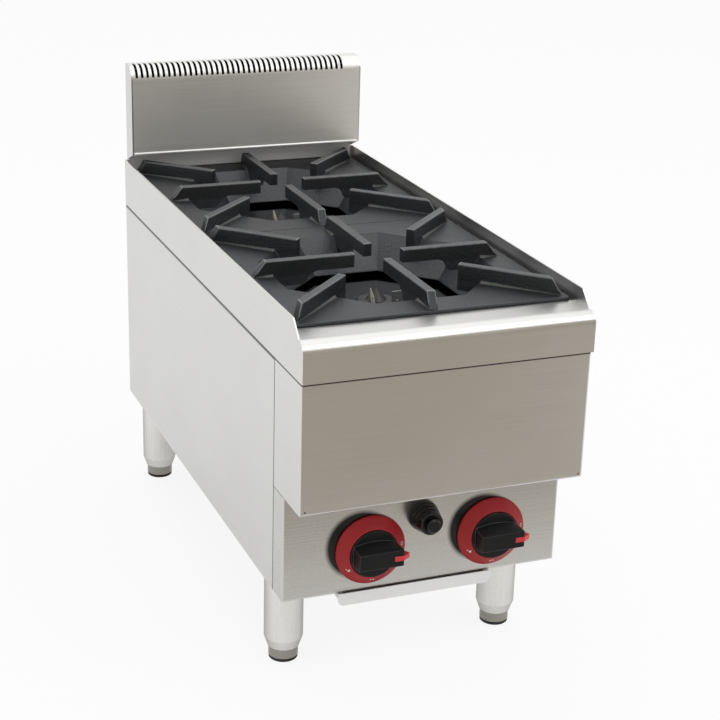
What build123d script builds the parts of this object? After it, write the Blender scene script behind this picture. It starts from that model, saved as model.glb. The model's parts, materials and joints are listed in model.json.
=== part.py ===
from build123d import *
import os

os.makedirs("parts", exist_ok=True)

# Axes: X across the front, +Y toward the back, +Z up, millimetres.
# The origin is on the bench, under the middle of the whole outline.

# Whole body
body_width = 300
body_depth = 650
inlet_reach = 25
half_width = body_width / 2
front = -(body_depth + inlet_reach) / 2
rear = front + body_depth

# Heights above the bench, each built on the one below
body_bottom = 104
control_height = 114
upper_front_height = 134
apron_height = 40
rim_rise = 16
support_rise = 3
fin_rise = 16
hem_rise = 11.5
backguard_rise = 119
step_height = body_bottom + control_height
apron_bottom = step_height + upper_front_height
strip_top = apron_bottom + apron_height
rim_top = strip_top + rim_rise
support_top = strip_top + support_rise
fin_top = support_top + fin_rise
hem_height = rim_top + hem_rise
backguard_top = rim_top + backguard_rise

# Sheet thicknesses, common gaps, and how far a cut runs past its material
top_sheet = 1.5
panel_sheet = 1.2
pan_sheet = 0.8
seat_gap = 0.3
round_gap = 0.3
screw_fit = 0.08
cut_over = 1

# Front assembly
nose_radius = 12
panel_inset = 0.5
front_panel_set_back = 3
control_set_back = 49.5
seam_set_back = 79.5
return_width = 12
top_return_width = 20
panel_bend_radius = 2.5
corner_hole_radius = 0.9
corner_hole_inset = 5
corner_hole_rise = 4.2
panel_half = half_width - panel_inset
panel_top = apron_bottom - seat_gap
front_panel_y = front + front_panel_set_back
control_y = front + control_set_back
seam_y = front + seam_set_back

# Side rims
rim_slope_start = 13
rim_slope_end = 29

# Pan supports
strip_depth = 42
edge_gap = 1.5
support_side_gap = 4.5
support_gap = 1.5
support_thickness = 7
support_corner = 4
support_width = body_width - 2 * (top_sheet + support_side_gap)
support_depth = (body_depth - strip_depth - top_sheet - 2 * edge_gap - support_gap) / 2
support_bottom = support_top - support_thickness
front_support_y = front + strip_depth + edge_gap + support_depth / 2
rear_support_y = front_support_y + support_depth + support_gap

# Bowl of a pan support
bowl_top_radius = 114
bowl_bottom_radius = 86
bowl_depth = 35
bowl_wall = 7
bowl_bottom = support_top - bowl_depth

# Fins of a pan support, by their distances from its centre and its edges
fin_thickness = 9
fin_inner_radius = 27
fin_throat_radius = 62
fin_heel_radius = 80
fin_heel_sag = 4.4
fin_bar_height = 14
fin_heel_depth = 11
fin_end_margin = 6
fin_end_slope = 8.1
side_fin_end_margin = 9
side_fin_end_slope = 13
corner_fin_inner_radius = 90
corner_fin_side_slope = 7
fin_edge_round = 1.2
fin_underside = fin_top - fin_bar_height
fin_heel_height = support_top - fin_heel_depth
fin_end_foot = support_depth / 2 - fin_end_margin
fin_end_top = fin_end_foot - fin_end_slope
side_fin_end_foot = support_width / 2 - side_fin_end_margin
side_fin_end_top = side_fin_end_foot - side_fin_end_slope
corner_fin_side_foot = support_width / 2 - fin_end_margin
corner_fin_side_top = corner_fin_side_foot - corner_fin_side_slope
corner_fin_reach = Vector(support_width / 2, support_depth / 2).length

# Ledge that carries the pan supports
ledge_width = 14
ledge_drop = 15
ledge_top = support_bottom - seat_gap - pan_sheet
ledge_inner = half_width - top_sheet - ledge_width
rail_width = 28

# Spill pans, with room at both ends of the well to tip a pan up
pan_flange_inset = 2.5
pan_depth = 32.9
pan_wall_gap = 1
pan_end_gap = 4
pan_corner = 14
pan_hole_gap = 2
pan_notch_width = 52
pan_notch_reach = 48
pan_floor = ledge_top - pan_depth

# Backguard
backguard_thickness = 28
backguard_side_inset = 5
backguard_curve = 16
end_plate_thickness = 2
backguard_half = half_width - backguard_side_inset
backguard_front = rear - backguard_thickness
hem_return = 8
hem_radius = 2.5
slot_start_margin = 5
slot_end_margin = 22
slot_pitch = 6.71
slot_row_length = 2 * backguard_half - slot_start_margin - slot_end_margin
slot_count = int(slot_row_length / slot_pitch) + 1
slot_width = 3.2
slot_drop = 14
slot_rear_margin = 8
back_sheet_tab = 12

# Burners, stacked down from the seat of the cap
burner_rise = 1.5
burner_wall = 4
burner_head_radius = 20
burner_head_height = 4.5
chamber_radius = 27
chamber_shoulder_height = 4
chamber_side_height = 9
chamber_slope_height = 8
tube_axis_drop = 4
tube_radius = 14
tube_wall = 3
tube_reach = 110
mouth_radius = 20
mouth_length = 18
neck_radius = 17
burner_foot_width = 56
burner_foot_depth = 34
burner_foot_height = 4
burner_foot_corner = 4
tube_rail_gap = 6
rail_height = 15
rail_depth = 44
cap_thickness = 3
cap_edge = 1
cap_spigot_depth = 3
cap_spigot_wall = 2.5
cone_radius = 11
cone_height = 12.2
cone_tip_radius = 1
port_count = 16
port_width = 1.8
port_height = 1.8
burner_seat = pan_floor + burner_rise
burner_head_foot = burner_seat - burner_head_height
chamber_top = burner_head_foot - chamber_shoulder_height
chamber_slope_top = chamber_top - chamber_side_height
chamber_bottom = chamber_slope_top - chamber_slope_height
tube_axis_height = chamber_bottom - tube_axis_drop
rail_top = tube_axis_height - tube_radius - tube_rail_gap

# Pilot parts beside each burner
plate_offset = 29.5
plate_half_width = 24
plate_sheet = 1.5
plate_top_drop = 1
plate_tube_gap = 1
tab_x = 10.5
tab_width = 11
tab_height = 30
tab_hole_radius = 1.6
tab_hole_drop = 8.5
shelf_left = -24
shelf_right = -7
shelf_reach = 46
probe_x = -14
probe_y = -40
probe_lean = 13
probe_radius = 1.9
probe_collar_radius = 3.4
probe_collar_height = 5
probe_start_length = 1
probe_length = 40
probe_point_length = 9
probe_tip_radius = 0.5
plate_top = chamber_top - plate_top_drop
tab_top = plate_top + tab_height
tab_hole_height = tab_top - tab_hole_drop

# Bezels, and the taps' height that leaves a margin under them
bezel_radius = 37
bezel_margin = 8
bezel_inner_radius = 25.8
bezel_thickness = 11.5
bezel_edge = 2
bezel_chamfer = 1
tap_height = body_bottom + bezel_margin + bezel_radius

# Gas taps, with depths measured back from the control panel's face
tap_left_x = -58
tap_right_x = 74
tap_start_depth = 12.5
tap_length = 28
tap_radius = 11
tap_tail_radius = 6
tap_tail_length = 7
tap_outlet_depth = 22.5
tap_outlet_radius = 6.5
tap_outlet_rise = 18
tap_front_y = control_y + tap_start_depth
tap_rear_y = tap_front_y + tap_length

# Spindles and their washers; proud sizes count forward from the panel's face
spindle_radius = 4
spindle_running_fit = 0.06
spindle_inner_depth = 32.5
spindle_flat_proud = 3.5
spindle_proud = 23.5
spindle_flat_distance = 2.6
spindle_chamfer = 0.8
panel_hole_radius = 6.5
washer_radius = 7
washer_thickness = 1.5
washer_depth = 3.5
push_travel = 4
push_reserve = 1
spindle_inner_y = control_y + spindle_inner_depth
spindle_flat_y = control_y - spindle_flat_proud
spindle_outer_y = control_y - spindle_proud

# Knobs: a disc with a bar across it, longer on the pointer's side
knob_radius = 25.2
knob_back_gap = 4.5
knob_disc_proud = 13
knob_bar_proud = 29.5
knob_base_left_length = 22.5
knob_base_right_length = 22
knob_base_half_height = 11
knob_base_crown = 3.8
knob_face_left_length = 22
knob_face_right_length = 25
knob_face_half_height = 8.5
knob_edge_round = 1
bar_edge_round = 0.7
knob_socket_gap = 0.05
knob_back_y = control_y - knob_back_gap
knob_disc_y = control_y - knob_disc_proud
knob_bar_y = control_y - knob_bar_proud

# Pointers
pointer_thickness = 5
pointer_inner_length = 15
pointer_tip_length = 32.5
pointer_tip_proud = 24.5
pointer_foot_length = 27.5
pointer_back_proud = 15.5
pointer_proud = 0.3
pointer_depth = 3

# Igniter
igniter_x = -2
igniter_rise = 29
collar_base_radius = 16
collar_nose_radius = 11
collar_length = 24
collar_flange = 3
collar_edge = 1
collar_rib_count = 3
collar_rib_depth = 1
collar_groove_start = 0.6
collar_groove_share = 0.4
collar_seat_depth = 3.5
igniter_body_radius = 8.5
igniter_body_length = 42
button_radius = 7.6
button_proud = 6
button_length = 20
button_stem_radius = 3
button_stem_length = 18
button_travel = 5
button_dome = 1.5
igniter_height = tap_height + igniter_rise

# Gas pipework
pipe_radius = 10.65
pipe_bore = 8.5
manifold_depth = 54.5
manifold_left_end = -84
manifold_plug = 5
elbow_size = 26
elbow_round = 4
supply_side_inset = 28
supply_rear_inset = 20
inlet_thread_radius = 10.48
inlet_shoulder_radius = 11.2
inlet_shoulder_proud = 2
inlet_hex_width = 27
inlet_hex_length = 12
inlet_chamfer = 1
inlet_panel_gap = 1
small_pipe_radius = 4
small_pipe_bore = 3
small_pipe_bend = 14
injector_gap = 4
injector_block_width = 16
jet_radius = 4
jet_length = 8
jet_bore = 0.8
low_pipe_drop = 13
saddle_places = (-24, 40)
saddle_sheet = 3
saddle_half_width = 12
saddle_foot_width = 14
saddle_top_drop = 4
supply_x = half_width - supply_side_inset

# Drip tray
tray_left = -86
tray_right = 72
tray_drop = 12
tray_depth = 10.5
tray_sheet = 1
tray_rear_margin = 133
tray_rim = 4
lip_gap = 2.5
lip_height = 13.1
lip_left_reach = 5.8
lip_right_reach = 3.2
lip_corner = 6
runner_sheet = 1.2
runner_flange = 9
runner_gap = 0.5
tray_bottom = body_bottom - tray_drop
tray_top = tray_bottom + tray_depth

# Legs and feet
leg_side_inset = 28
front_leg_set_back = 123
rear_leg_inset = 38.5
leg_radius = 20.5
leg_wall = 1.5
leg_shoulder_top = 26
leg_shoulder_bottom = 15
leg_mouth_wall = 0.9
foot_radius = 15.5
foot_barrel_top = 40
foot_stem_radius = 6
foot_stem_top = 85
foot_chamfer = 1
foot_pad_radius = 15.2
foot_pad_height = 3
foot_pad_chamfer = 0.8
bush_bottom = 60
bush_height = 10
stud_radius = 6
stud_proud = 7.3
nut_radius = 10.5
nut_height = 10
leg_x = half_width - leg_side_inset
front_leg_y = front + front_leg_set_back
rear_leg_y = rear - rear_leg_inset

# Base frame
floor_bottom = body_bottom + panel_sheet
floor_top = floor_bottom + top_sheet
narrow_flange = 5
floor_half = panel_half - panel_sheet - seat_gap
floor_lip = 20
opening_side_margin = 6
opening_end_margin = 75
opening_corner = 10
stud_top = floor_top + nut_height + stud_proud

# Rear fixings and vents
back_screw_head_radius = 4
back_screw_head_height = 2.2
back_screw_radius = 2
back_screw_length = 8
back_flange_width = 15
back_screw_columns = 4
vent_width = 60
vent_height = 5
vent_pitch = 14
vent_rows = 4
vent_column_gap = 24
vent_rise = 42


def save(name, part):
    part.label = name
    export_step(part, "parts/" + name + ".step")


def facing_front(y):
    """Plane square to Y at y whose normal points to the front."""
    return Plane.XZ.offset(-y)


def octagon(radius):
    RegularPolygon(radius, 8, major_radius=False, rotation=22.5)


# Worktop: skirts with their rims, nose, ledges and the rail between supports
strip_end = front + strip_depth
ledge_front_end = strip_end + ledge_width
ledge_rear_end = rear - top_sheet - ledge_width
rail_y = (front_support_y + rear_support_y) / 2

with BuildPart() as worktop:
    with BuildSketch(Plane.YZ.offset(-half_width)):
        with BuildLine():
            RadiusArc((front, strip_top - nose_radius), (front + nose_radius, strip_top), nose_radius)
            Polyline(
                (front + nose_radius, strip_top),
                (front + rim_slope_start, strip_top),
                (front + rim_slope_end, rim_top),
                (rear, rim_top),
                (rear, apron_bottom),
                (front, apron_bottom),
                (front, strip_top - nose_radius),
            )
        make_face()
    extrude(amount=top_sheet)
    # Turned-in return along the bottom of the skirt
    with BuildSketch(facing_front(rear)):
        with Locations((-half_width + return_width / 2, apron_bottom + top_sheet / 2)):
            Rectangle(return_width, top_sheet)
    extrude(amount=body_depth)
    # Ledge along the inside of the rim
    with BuildSketch(facing_front(rear)):
        with BuildLine():
            Polyline(
                (-half_width + top_sheet, ledge_top),
                (-ledge_inner, ledge_top),
                (-ledge_inner, ledge_top - ledge_drop),
            )
            offset(amount=top_sheet, side=Side.RIGHT)
        make_face()
    extrude(amount=body_depth - strip_depth)
    mirror(about=Plane.YZ)
    # Apron, rounded nose, front strip and front ledge in one folded sheet
    with BuildSketch(Plane.YZ):
        with BuildLine():
            Polyline(
                (front + return_width, apron_bottom),
                (front, apron_bottom),
                (front, strip_top - nose_radius),
            )
            RadiusArc((front, strip_top - nose_radius), (front + nose_radius, strip_top), nose_radius)
            Polyline(
                (front + nose_radius, strip_top),
                (strip_end, strip_top),
                (strip_end, ledge_top),
                (ledge_front_end, ledge_top),
                (ledge_front_end, ledge_top - ledge_drop),
            )
            offset(amount=top_sheet, side=Side.RIGHT)
        make_face()
    extrude(amount=half_width - top_sheet, both=True)
    # Rear wall with its return and the rear ledge
    with BuildSketch(Plane.YZ):
        with BuildLine():
            Polyline(
                (rear - return_width, apron_bottom),
                (rear, apron_bottom),
                (rear, rim_top),
            )
            offset(amount=top_sheet, side=Side.LEFT)
        make_face()
        with BuildLine():
            Polyline(
                (rear - top_sheet, ledge_top),
                (ledge_rear_end, ledge_top),
                (ledge_rear_end, ledge_top - ledge_drop),
            )
            offset(amount=top_sheet, side=Side.LEFT)
        make_face()
    extrude(amount=half_width - top_sheet, both=True)
    # Rail between the two supports
    with BuildSketch(Plane.YZ):
        with BuildLine():
            Polyline(
                (rail_y - rail_width / 2, ledge_top - ledge_drop),
                (rail_y - rail_width / 2, ledge_top),
                (rail_y + rail_width / 2, ledge_top),
                (rail_y + rail_width / 2, ledge_top - ledge_drop),
            )
            offset(amount=top_sheet, side=Side.RIGHT)
        make_face()
    extrude(amount=ledge_inner + top_sheet / 2, both=True)
save("worktop", worktop.part)


# Pan supports: plate, eight-sided bowl and eight fins
def fin_plane(centre_y, angle):
    """Upright plane through a support's centre with local x pointing outward."""
    return Plane(
        origin=(0, centre_y, 0),
        x_dir=Vector(1, 0, 0).rotate(Axis.Z, angle),
        z_dir=Vector(0, -1, 0).rotate(Axis.Z, angle),
    )


def make_pan_support(centre_y):
    wall_rise = support_top - bowl_bottom
    wall_slope = (bowl_top_radius - bowl_bottom_radius) / wall_rise
    heel_wall = bowl_top_radius - wall_slope * (support_top - fin_heel_height) + bowl_wall / 2
    with BuildPart() as support:
        with BuildSketch(Plane.XY.offset(support_bottom)):
            with Locations((0, centre_y)):
                RectangleRounded(support_width, support_depth, support_corner)
        extrude(amount=support_thickness)
        # Outside of the bowl, then its inside
        for radius_change, mode in ((bowl_wall, Mode.ADD), (0, Mode.SUBTRACT)):
            with BuildSketch(Plane.XY.offset(bowl_bottom)):
                with Locations((0, centre_y)):
                    octagon(bowl_bottom_radius + radius_change)
            with BuildSketch(Plane.XY.offset(support_top)):
                with Locations((0, centre_y)):
                    octagon(bowl_top_radius + radius_change)
            loft(mode=mode)
        # Fins on the axes; those to the sides end in a shallow point
        for angle in (0, 90, 180, 270):
            to_side = angle in (0, 180)
            end_top = side_fin_end_top if to_side else fin_end_top
            end_foot = side_fin_end_foot if to_side else fin_end_foot
            with BuildSketch(fin_plane(centre_y, angle)):
                with BuildLine():
                    Polyline(
                        (fin_throat_radius, fin_underside),
                        (fin_inner_radius, fin_underside),
                        (fin_inner_radius, fin_top),
                        (end_top, fin_top),
                        (end_foot, support_top),
                        (end_foot - fin_thickness, support_bottom + support_thickness / 2),
                        (heel_wall + bowl_wall, support_bottom + support_thickness / 2),
                        (heel_wall, fin_heel_height),
                        (fin_heel_radius, fin_heel_height),
                    )
                    SagittaArc(
                        (fin_heel_radius, fin_heel_height),
                        (fin_throat_radius, fin_underside),
                        -fin_heel_sag,
                    )
                make_face()
            extrude(amount=fin_thickness / 2, both=True)
        # Fins on the diagonals, long enough to be cut by the four end faces
        for angle in (45, 135, 225, 315):
            with BuildSketch(fin_plane(centre_y, angle)):
                with BuildLine():
                    Polyline(
                        (corner_fin_inner_radius, fin_heel_height),
                        (corner_fin_inner_radius, fin_top),
                        (corner_fin_reach, fin_top),
                        (corner_fin_reach, support_top),
                        (fin_end_foot, support_top),
                        (fin_end_foot, support_bottom + support_thickness / 2),
                        (heel_wall + bowl_wall, support_bottom + support_thickness / 2),
                        (heel_wall, fin_heel_height),
                        close=True,
                    )
                make_face()
            extrude(amount=fin_thickness / 2, both=True)
        # Sloped end faces over the front and back edges
        for side in (-1, 1):
            with BuildSketch(Plane.YZ):
                with BuildLine():
                    Polyline(
                        (centre_y + side * fin_end_foot, support_top),
                        (centre_y + side * fin_end_top, fin_top),
                        (centre_y + side * fin_end_top, fin_top + cut_over),
                        (centre_y + side * corner_fin_reach, fin_top + cut_over),
                        (centre_y + side * corner_fin_reach, support_top),
                        close=True,
                    )
                make_face()
            extrude(amount=half_width, both=True, mode=Mode.SUBTRACT)
        # Sloped end faces over the side edges
        for side in (-1, 1):
            with BuildSketch(facing_front(centre_y)):
                with BuildLine():
                    Polyline(
                        (side * corner_fin_side_foot, support_top),
                        (side * corner_fin_side_top, fin_top),
                        (side * corner_fin_side_top, fin_top + cut_over),
                        (side * corner_fin_reach, fin_top + cut_over),
                        (side * corner_fin_reach, support_top),
                        close=True,
                    )
                make_face()
            extrude(amount=support_depth / 2, both=True, mode=Mode.SUBTRACT)
        # Rounded along the top edges of the fins
        top_faces = support.faces().filter_by(Plane.XY).group_by(Axis.Z)[-1]
        long_edges = top_faces.edges().filter_by(lambda edge: edge.length > 2 * fin_thickness)
        fillet(long_edges, fin_edge_round)
    return support.part


save("pan_support_front", make_pan_support(front_support_y))
save("pan_support_rear", make_pan_support(rear_support_y))


# Spill pans: a flange on the ledge, a well and a hole for the burner
def make_spill_pan(centre_y):
    flange_width = support_width - 2 * pan_flange_inset
    flange_depth = support_depth - 2 * pan_flange_inset
    well_width = 2 * (ledge_inner - pan_wall_gap)
    well_depth = 2 * (front_support_y - ledge_front_end - pan_end_gap)
    with BuildPart() as pan:
        with BuildSketch(Plane.XY.offset(ledge_top)):
            with Locations((0, centre_y)):
                RectangleRounded(flange_width, flange_depth, support_corner)
        extrude(amount=pan_sheet)
        with BuildSketch(Plane.XY.offset(pan_floor)):
            with Locations((0, centre_y)):
                RectangleRounded(well_width, well_depth, pan_corner)
        extrude(amount=ledge_top - pan_floor)
        with BuildSketch(Plane.XY.offset(pan_floor + pan_sheet)):
            with Locations((0, centre_y)):
                RectangleRounded(
                    well_width - 2 * pan_sheet,
                    well_depth - 2 * pan_sheet,
                    pan_corner - pan_sheet,
                )
        extrude(amount=ledge_top - pan_floor, mode=Mode.SUBTRACT)
        # Hole for the burner head with a notch for the pilot parts in front
        with BuildSketch(Plane.XY.offset(pan_floor)):
            with Locations((0, centre_y)):
                Circle(burner_head_radius + pan_hole_gap)
            with Locations((0, centre_y - pan_notch_reach / 2)):
                Rectangle(pan_notch_width, pan_notch_reach)
        extrude(amount=pan_sheet, mode=Mode.SUBTRACT)
    return pan.part


save("spill_pan_front", make_spill_pan(front_support_y))
save("spill_pan_rear", make_spill_pan(rear_support_y))


# Burner body: round head on a neck, mixing tube toward the front, foot
def make_burner_body(centre_y):
    axis = Axis((0, centre_y, 0), (0, 0, 1))
    head_plane = Plane(origin=(0, centre_y, 0), x_dir=(1, 0, 0), z_dir=(0, -1, 0))
    tube_plane = Plane(origin=(0, centre_y, tube_axis_height), x_dir=(1, 0, 0), z_dir=(0, -1, 0))
    tube_bore = tube_radius - tube_wall
    head_bore = burner_head_radius - burner_wall
    with BuildPart() as body:
        with BuildSketch(head_plane):
            with BuildLine():
                Polyline(
                    (0, rail_top),
                    (neck_radius, rail_top),
                    (neck_radius, chamber_bottom),
                    (chamber_radius, chamber_slope_top),
                    (chamber_radius, chamber_top),
                    (burner_head_radius, burner_head_foot),
                    (burner_head_radius, burner_seat),
                    (0, burner_seat),
                    close=True,
                )
            make_face()
        revolve(axis=axis)
        with BuildSketch(tube_plane):
            Circle(tube_radius)
        extrude(amount=tube_reach)
        with BuildSketch(tube_plane.offset(tube_reach - mouth_length)):
            Circle(tube_radius)
        with BuildSketch(tube_plane.offset(tube_reach)):
            Circle(mouth_radius)
        loft()
        with BuildSketch(Plane.XY.offset(rail_top)):
            with Locations((0, centre_y)):
                RectangleRounded(burner_foot_width, burner_foot_depth, burner_foot_corner)
        extrude(amount=burner_foot_height)
        # Chamber under the cap, the bore and the flared mouth
        with BuildSketch(head_plane):
            with BuildLine():
                Polyline(
                    (0, tube_axis_height),
                    (tube_bore, tube_axis_height),
                    (tube_bore, chamber_slope_top - burner_wall),
                    (chamber_radius - burner_wall, chamber_slope_top + burner_wall),
                    (chamber_radius - burner_wall, chamber_top - burner_wall / 2),
                    (head_bore, burner_head_foot - burner_wall / 2),
                    (head_bore, burner_seat),
                    (0, burner_seat),
                    close=True,
                )
            make_face()
        revolve(axis=axis, mode=Mode.SUBTRACT)
        with BuildSketch(tube_plane):
            Circle(tube_bore)
        extrude(amount=tube_reach, mode=Mode.SUBTRACT)
        with BuildSketch(tube_plane.offset(tube_reach - mouth_length)):
            Circle(tube_bore)
        with BuildSketch(tube_plane.offset(tube_reach)):
            Circle(mouth_radius - tube_wall)
        loft(mode=Mode.SUBTRACT)
    return body.part


# Burner cap: spigot in the head, ports under the rim, cone in the middle
def make_burner_cap(centre_y):
    cap_bottom = burner_seat + seat_gap
    cap_top = cap_bottom + cap_thickness
    spigot_bottom = burner_seat - cap_spigot_depth
    spigot_radius = burner_head_radius - burner_wall - round_gap
    spigot_bore = spigot_radius - cap_spigot_wall
    with BuildPart() as cap:
        with BuildSketch(Plane(origin=(0, centre_y, 0), x_dir=(1, 0, 0), z_dir=(0, -1, 0))):
            with BuildLine():
                Polyline(
                    (0, cap_bottom + cap_edge),
                    (spigot_bore, cap_bottom + cap_edge),
                    (spigot_bore, spigot_bottom),
                    (spigot_radius, spigot_bottom),
                    (spigot_radius, cap_bottom),
                    (burner_head_radius, cap_bottom),
                    (burner_head_radius, cap_top - cap_edge),
                    (burner_head_radius - cap_edge, cap_top),
                    (cone_radius, cap_top),
                    (cone_tip_radius, cap_top + cone_height - cone_tip_radius),
                    (0, cap_top + cone_height),
                    close=True,
                )
            make_face()
        revolve(axis=Axis((0, centre_y, 0), (0, 0, 1)))
        with BuildSketch(Plane.XY.offset(cap_bottom)):
            with Locations((0, centre_y)):
                with PolarLocations(burner_head_radius - burner_wall / 2, port_count):
                    Rectangle(burner_wall * 2, port_width)
        extrude(amount=port_height, mode=Mode.SUBTRACT)
    return cap.part


for place, centre_y in (("front", front_support_y), ("rear", rear_support_y)):
    save("burner_body_" + place, make_burner_body(centre_y))
    save("burner_cap_" + place, make_burner_cap(centre_y))


# Pilot brackets: a plate round each mixing tube, its foot on the rail,
# a tab with a hole on the right and a shelf for the probe on the left
with BuildPart() as pilot_brackets:
    for centre_y in (front_support_y, rear_support_y):
        plate_y = centre_y - plate_offset
        foot_end = centre_y - burner_foot_depth / 2 - seat_gap
        with BuildSketch(facing_front(plate_y)):
            with Locations((0, (rail_top + plate_top) / 2)):
                Rectangle(2 * plate_half_width, plate_top - rail_top)
            with Locations((tab_x, (plate_top + tab_top) / 2)):
                Rectangle(tab_width, tab_top - plate_top)
            with Locations((0, tube_axis_height)):
                Circle(tube_radius + plate_tube_gap, mode=Mode.SUBTRACT)
            with Locations((tab_x, tab_hole_height)):
                Circle(tab_hole_radius, mode=Mode.SUBTRACT)
        extrude(amount=plate_sheet)
        with BuildSketch(Plane.XY.offset(rail_top)):
            with Locations((0, (plate_y + foot_end) / 2)):
                Rectangle(2 * plate_half_width, foot_end - plate_y)
        extrude(amount=plate_sheet)
        shelf_front = centre_y - shelf_reach
        with BuildSketch(Plane.XY.offset(plate_top - plate_sheet)):
            with Locations(((shelf_left + shelf_right) / 2, (shelf_front + plate_y) / 2)):
                Rectangle(shelf_right - shelf_left, plate_y - shelf_front)
        extrude(amount=plate_sheet)
save("pilot_brackets", pilot_brackets.part)


# Thermocouples: a leaning probe on a collar beside each burner
def probe_plane(centre_y):
    """Plane through a probe's foot whose local y runs along the probe."""
    along = Vector(0, 0, 1).rotate(Axis.Y, -probe_lean)
    across = Vector(1, 0, 0).rotate(Axis.Y, -probe_lean)
    return Plane(
        origin=(probe_x, centre_y + probe_y, plate_top + seat_gap),
        x_dir=across,
        z_dir=across.cross(along),
    )


with BuildPart() as thermocouples:
    for centre_y in (front_support_y, rear_support_y):
        plane = probe_plane(centre_y)
        with BuildSketch(Plane.XY.offset(plate_top)):
            with Locations((probe_x, centre_y + probe_y)):
                Circle(probe_collar_radius)
        extrude(amount=probe_collar_height)
        with BuildSketch(plane):
            with BuildLine():
                Polyline(
                    (0, probe_start_length),
                    (probe_radius, probe_start_length),
                    (probe_radius, probe_length - probe_point_length),
                    (probe_tip_radius, probe_length),
                    (0, probe_length),
                    close=True,
                )
            make_face()
        revolve(axis=Axis(plane.origin, plane.y_dir))
save("thermocouples", thermocouples.part)

# Burner rails: channels across the body under the burners
with BuildPart() as burner_rails:
    for centre_y in (front_support_y, rear_support_y):
        with BuildSketch(Plane.YZ):
            with BuildLine():
                Polyline(
                    (centre_y - rail_depth / 2, rail_top - rail_height),
                    (centre_y - rail_depth / 2, rail_top),
                    (centre_y + rail_depth / 2, rail_top),
                    (centre_y + rail_depth / 2, rail_top - rail_height),
                )
                offset(amount=top_sheet, side=Side.RIGHT)
            make_face()
        extrude(amount=floor_half, both=True)
save("burner_rails", burner_rails.part)


# Backguard: folded front and curved top with slots, end plates, back sheet
with BuildPart() as backguard_shell:
    with BuildSketch(Plane.YZ):
        with BuildLine():
            Line(
                (backguard_front + hem_return, hem_height),
                (backguard_front + hem_radius, hem_height),
            )
            RadiusArc(
                (backguard_front + hem_radius, hem_height),
                (backguard_front, hem_height + hem_radius),
                hem_radius,
            )
            Line(
                (backguard_front, hem_height + hem_radius),
                (backguard_front, backguard_top - backguard_curve),
            )
            RadiusArc(
                (backguard_front, backguard_top - backguard_curve),
                (backguard_front + backguard_curve, backguard_top),
                backguard_curve,
            )
            Line((backguard_front + backguard_curve, backguard_top), (rear, backguard_top))
            offset(amount=panel_sheet, side=Side.RIGHT)
        make_face()
    extrude(amount=backguard_half, both=True)
    slot_first = -backguard_half + slot_start_margin
    slot_places = [
        (slot_first + slot_pitch * n, backguard_front - cut_over, backguard_top - slot_drop)
        for n in range(slot_count)
    ]
    with Locations(*slot_places):
        Box(
            slot_width,
            backguard_thickness - slot_rear_margin + cut_over,
            slot_drop + cut_over,
            align=(Align.CENTER, Align.MIN, Align.MIN),
            mode=Mode.SUBTRACT,
        )
save("backguard_shell", backguard_shell.part)


def make_backguard_end(side):
    inner_face = side * backguard_half
    with BuildPart() as end:
        with BuildSketch(Plane.YZ.offset(inner_face)):
            with BuildLine():
                RadiusArc(
                    (backguard_front, backguard_top - backguard_curve),
                    (backguard_front + backguard_curve, backguard_top),
                    backguard_curve,
                )
                Polyline(
                    (backguard_front + backguard_curve, backguard_top),
                    (rear, backguard_top),
                    (rear, rim_top + seat_gap),
                    (backguard_front, hem_height),
                    (backguard_front, backguard_top - backguard_curve),
                )
            make_face()
        extrude(amount=side * end_plate_thickness)
    return end.part


save("backguard_end_left", make_backguard_end(-1))
save("backguard_end_right", make_backguard_end(1))

back_sheet_y = rear - top_sheet - seat_gap
with BuildPart() as backguard_back:
    with BuildSketch(facing_front(back_sheet_y)):
        with Locations((0, (rim_top - back_sheet_tab + backguard_top - panel_sheet) / 2)):
            Rectangle(2 * backguard_half, backguard_top - panel_sheet - rim_top + back_sheet_tab)
    extrude(amount=panel_sheet)
save("backguard_back", backguard_back.part)


# Front panels: a face with side flanges, a top return and a bottom return
def make_folded_panel(face_y, bottom, top, bottom_return, top_return):
    """Folded sheet open to the back, its flanges ending at the seam."""
    depth = seam_y - seat_gap - face_y
    with BuildPart() as panel:
        with BuildSketch(Plane.XY.offset(bottom)):
            with Locations((0, face_y + depth / 2)):
                Rectangle(2 * panel_half, depth)
            with Locations((0, face_y + depth / 2 + panel_sheet)):
                Rectangle(2 * (panel_half - panel_sheet), depth, mode=Mode.SUBTRACT)
        extrude(amount=top - bottom)
        for level, width in ((bottom, bottom_return), (top - panel_sheet, top_return)):
            with BuildSketch(Plane.XY.offset(level)):
                with Locations((0, face_y + width / 2)):
                    Rectangle(2 * panel_half, width)
            extrude(amount=panel_sheet)
        face_edges = panel.edges().filter_by_position(Axis.Y, face_y, face_y)
        bends = face_edges.filter_by(Axis.Z) + face_edges.group_by(Axis.Z)[0]
        fillet(bends, panel_bend_radius)
    return panel


front_blank = make_folded_panel(
    front_panel_y,
    step_height,
    panel_top,
    control_set_back - front_panel_set_back + panel_sheet,
    top_return_width,
)
with BuildPart() as front_panel:
    add(front_blank.part)
    with BuildSketch(facing_front(front_panel_y)):
        for side in (-1, 1):
            with Locations(
                (side * (panel_half - corner_hole_inset), step_height + corner_hole_rise)
            ):
                Circle(corner_hole_radius)
    extrude(amount=-panel_sheet - cut_over, mode=Mode.SUBTRACT)
save("front_panel", front_panel.part)

control_blank = make_folded_panel(
    control_y, body_bottom, step_height - seat_gap, return_width, return_width
)
with BuildPart() as control_panel:
    add(control_blank.part)
    with BuildSketch(facing_front(control_y)):
        with Locations((tap_left_x, tap_height), (tap_right_x, tap_height)):
            Circle(panel_hole_radius)
        with Locations((igniter_x, igniter_height)):
            Circle(igniter_body_radius + round_gap)
    extrude(amount=-return_width, mode=Mode.SUBTRACT)
save("control_panel", control_panel.part)


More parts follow.
